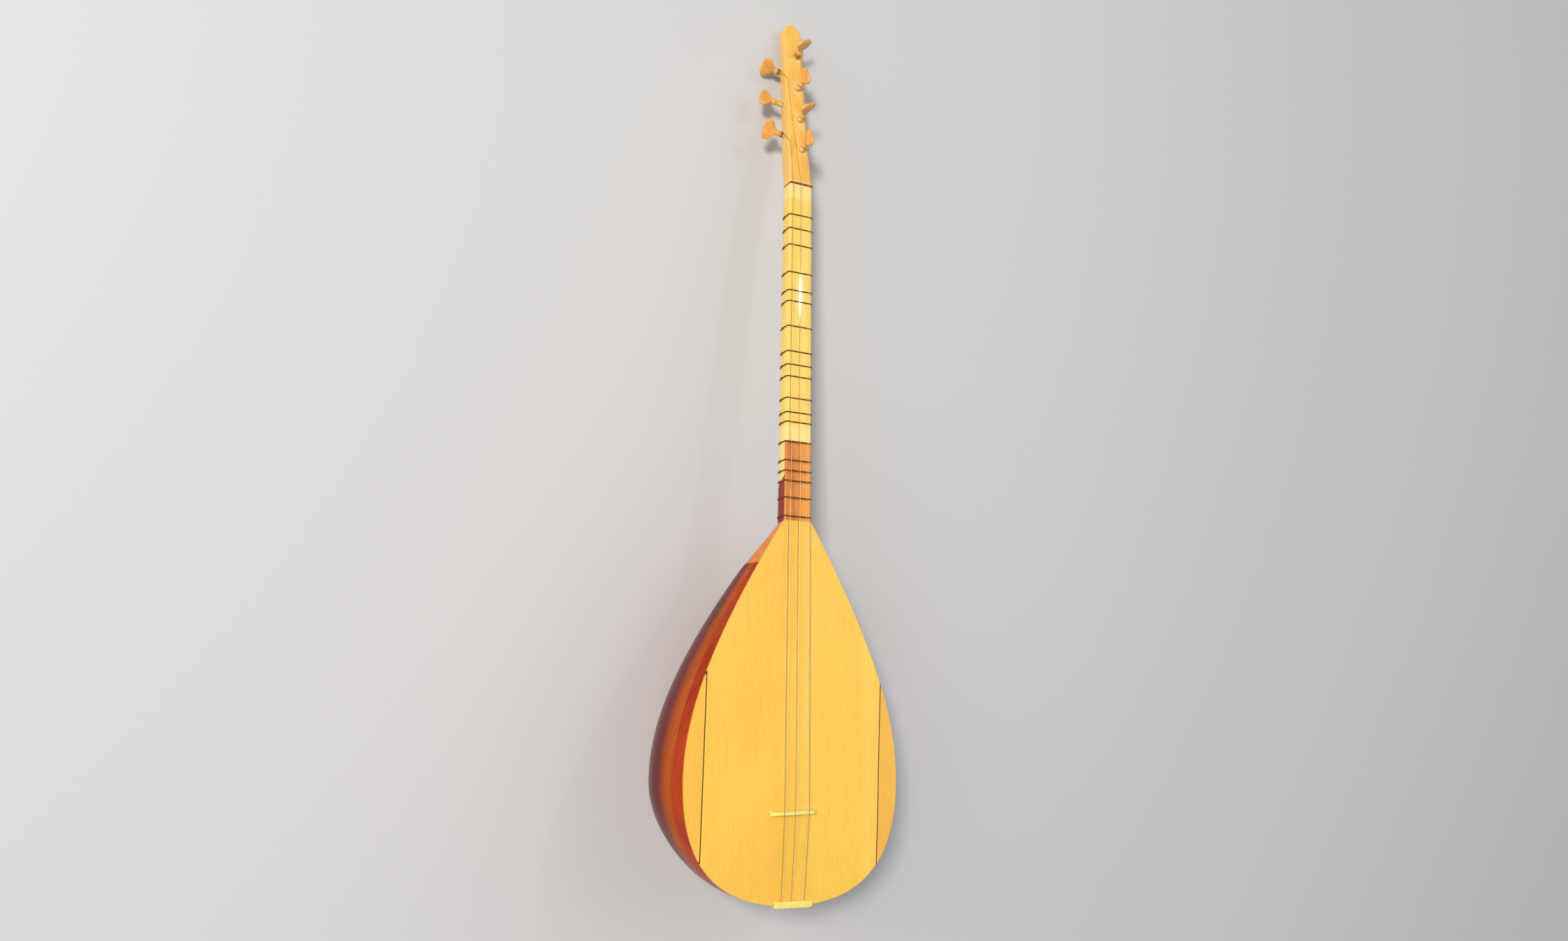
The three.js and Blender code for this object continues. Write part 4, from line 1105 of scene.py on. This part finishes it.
def winding_path(kind, along, gauge, start_angle):
    """Turns of string on its peg, from the wood outwards."""
    grip = PEG_SHAFT + gauge / 2 + STRING_CLEAR
    turns = min(MOST_TURNS, int((WINDING_END - WINDING_START) / (gauge * TURN_ROOM)))
    matrix = HEAD @ peg_matrix(kind, along)
    middle = (WINDING_START + WINDING_END) / 2
    length = turns * gauge * TURN_PITCH
    points = []
    for i in range(turns * TURN_STEPS + 1):
        a = start_angle + 2 * math.pi * i / TURN_STEPS
        z = middle + length / 2 - length * i / (turns * TURN_STEPS)
        points.append(matrix @ Vector((grip * math.cos(a), grip * math.sin(a), z)))
    return points


def winding_after(kind, along, gauge, at_nut, last):
    """The winding that a straight run from the last point of the route reaches without a kink."""
    lead = (HEAD @ peg_matrix(kind, along)).inverted() @ last
    grip = PEG_SHAFT + gauge / 2 + STRING_CLEAR
    facing = math.atan2(lead.y, lead.x)
    turn = math.acos(min(1, grip / math.hypot(lead.x, lead.y)))
    either = [winding_path(kind, along, gauge, facing + side * turn) for side in (-1, 1)]
    if kind == "face":
        return min(either, key=lambda path: abs(path[0].x - at_nut * 1.5))
    return max(either, key=lambda path: path[0].z)


def build_string(number, at_bridge, at_nut, gauge, kind, index, wound):
    """From the holder over the bridge and the nut to its peg, bending at each within a short way."""
    radius = gauge / 2
    bridge_y = BRIDGE_Y + (at_bridge - BRIDGE_X) * math.tan(BRIDGE_SKEW)
    along = PEGS[kind][index][0]
    start = Vector((at_bridge * HOLDER_SPREAD, HOLDER_FRONT - 1.5, STRING_AT_HOLDER))
    bridge = Vector((at_bridge, bridge_y, BRIDGE_LIFT + BRIDGE_HEIGHT))
    nut = Vector((at_nut, SCALE, face_height(SCALE) + NUT_HEIGHT + radius * 0.6))
    route = [start, bridge.lerp(start, 0.02), bridge, bridge.lerp(nut, 0.003), nut.lerp(bridge, 0.002), nut]
    if kind == "side":
        at = peg_place(kind, along)[0]
        route.append(HEAD @ Vector((at.x + 1.2, at.y - 15, 0.3 + radius)))
    route += winding_after(kind, along, gauge, at_nut, route[-1])
    look, slot = (WOUND, "wound_string") if wound else (STEEL, "steel_string")
    make_piece(f"string_{number}", tube(route, radius, 10), look, sharp=70)


# ---------------- camera, floor and lights


CAMERA_AT = (-569.4, 85.3, 1137.8)  # in instrument millimetres, as are its directions
CAMERA_RIGHT = (0.89827, 0.01650, 0.43914)
CAMERA_UP = (-0.10908, 0.97639, 0.18645)
CAMERA_LENS = 27.04     # for a frame 36 mm wide
FLOOR_HALF = 6          # in metres


def build_camera():
    """The camera stands over the bass side of the bowl, looking up the neck."""
    data = bpy.data.cameras.new("camera")
    data.sensor_fit = "HORIZONTAL"
    data.sensor_width = 36
    data.lens = CAMERA_LENS
    data.clip_start = 0.05
    data.clip_end = 50
    camera = bpy.data.objects.new("camera", data)
    bpy.context.scene.collection.objects.link(camera)
    rotation = TO_ROW.to_3x3().normalized()
    right = (rotation @ Vector(CAMERA_RIGHT)).normalized()
    up = (rotation @ Vector(CAMERA_UP)).normalized()
    up = (up - right * up.dot(right)).normalized()
    turn = Matrix((right, up, right.cross(up))).transposed()
    camera.matrix_world = Matrix.Translation(TO_ROW @ Vector(CAMERA_AT)) @ turn.to_4x4()
    bpy.context.scene.camera = camera


def build_floor():
    bm = bmesh.new()
    corners = ((-1, -1), (1, -1), (1, 1), (-1, 1))
    bm.faces.new([bm.verts.new((x * FLOOR_HALF, y * FLOOR_HALF, 0)) for x, y in corners])
    mesh = bpy.data.meshes.new("floor")
    bm.to_mesh(mesh)
    bm.free()
    floor = bpy.data.objects.new("floor", mesh)
    material, _, shader = new_material("pale_floor")
    shader.inputs["Base Color"].default_value = (0.62, 0.62, 0.63, 1)
    shader.inputs["Roughness"].default_value = 0.9
    mesh.materials.append(material)
    bpy.context.scene.collection.objects.link(floor)


def area_light(name, position, target, size, power, color):
    data = bpy.data.lights.new(name, "AREA")
    data.shape = "RECTANGLE"
    data.size, data.size_y = size
    data.energy = power
    data.color = color
    light = bpy.data.objects.new(name, data)
    light.location = position
    light.rotation_mode = "QUATERNION"
    light.rotation_quaternion = (Vector(target) - Vector(position)).to_track_quat("-Z", "Y")
    bpy.context.scene.collection.objects.link(light)


# Place and target in metres, size, watts and colour. The glint is mirrored in the neck's lacquer.
LIGHTS = {
    "key": ((-2.0, 0.5, 3.3), (0, 0, 0), (0.6, 0.6), 98, (1.0, 0.96, 0.9)),
    "fill": ((2.4, 1.2, 3.0), (0, 0, 0), (3.0, 3.0), 24, (0.95, 0.96, 1.0)),
    "tail": ((-0.8, -2.8, 1.4), (0, -0.3, 0.1), (1.4, 0.8), 8, (1.0, 0.97, 0.94)),
    "edge": ((-2.4, 0.5, 1.3), (0, 0.1, 0.1), (0.8, 2.2), 14, (1.0, 0.98, 0.94)),
    "glint": (TO_ROW @ Vector((1250, 1700, 2500)), TO_ROW @ Vector((0, 590, 0)), (0.1, 0.1), 4,
              (1.0, 0.97, 0.9)),
}
WORLD_COLOR = (0.95, 0.97, 1.0)
WORLD_STRENGTH = 0.3


def build_lights():
    for name, light in LIGHTS.items():
        area_light(name, *light)
    world = bpy.data.worlds.new("soft_room")
    world.use_nodes = True
    background = world.node_tree.nodes["Background"]
    background.inputs["Color"].default_value = (*WORLD_COLOR, 1)
    background.inputs["Strength"].default_value = WORLD_STRENGTH
    bpy.context.scene.world = world
    bpy.context.scene.view_settings.view_transform = "Standard"


# ---------------- the whole scene

build_camera()
build_floor()
build_lights()
build_soundboard()
for stave_index in range(STAVES):
    build_stave(stave_index)
build_neck_block()
build_neck()
build_nut()
for fret_number, fret_cents in enumerate(FRET_CENTS, 1):
    build_fret(fret_number, fret_cents)
build_head()
build_bridge()
build_holder()
for string_number, string in enumerate(STRINGS, 1):
    build_string(string_number, *string)

for inner in HIDDEN_PIECES:
    slots = frame["nodes"][inner].data.materials
    slots.clear()
    slots.append(INNER_WOOD)
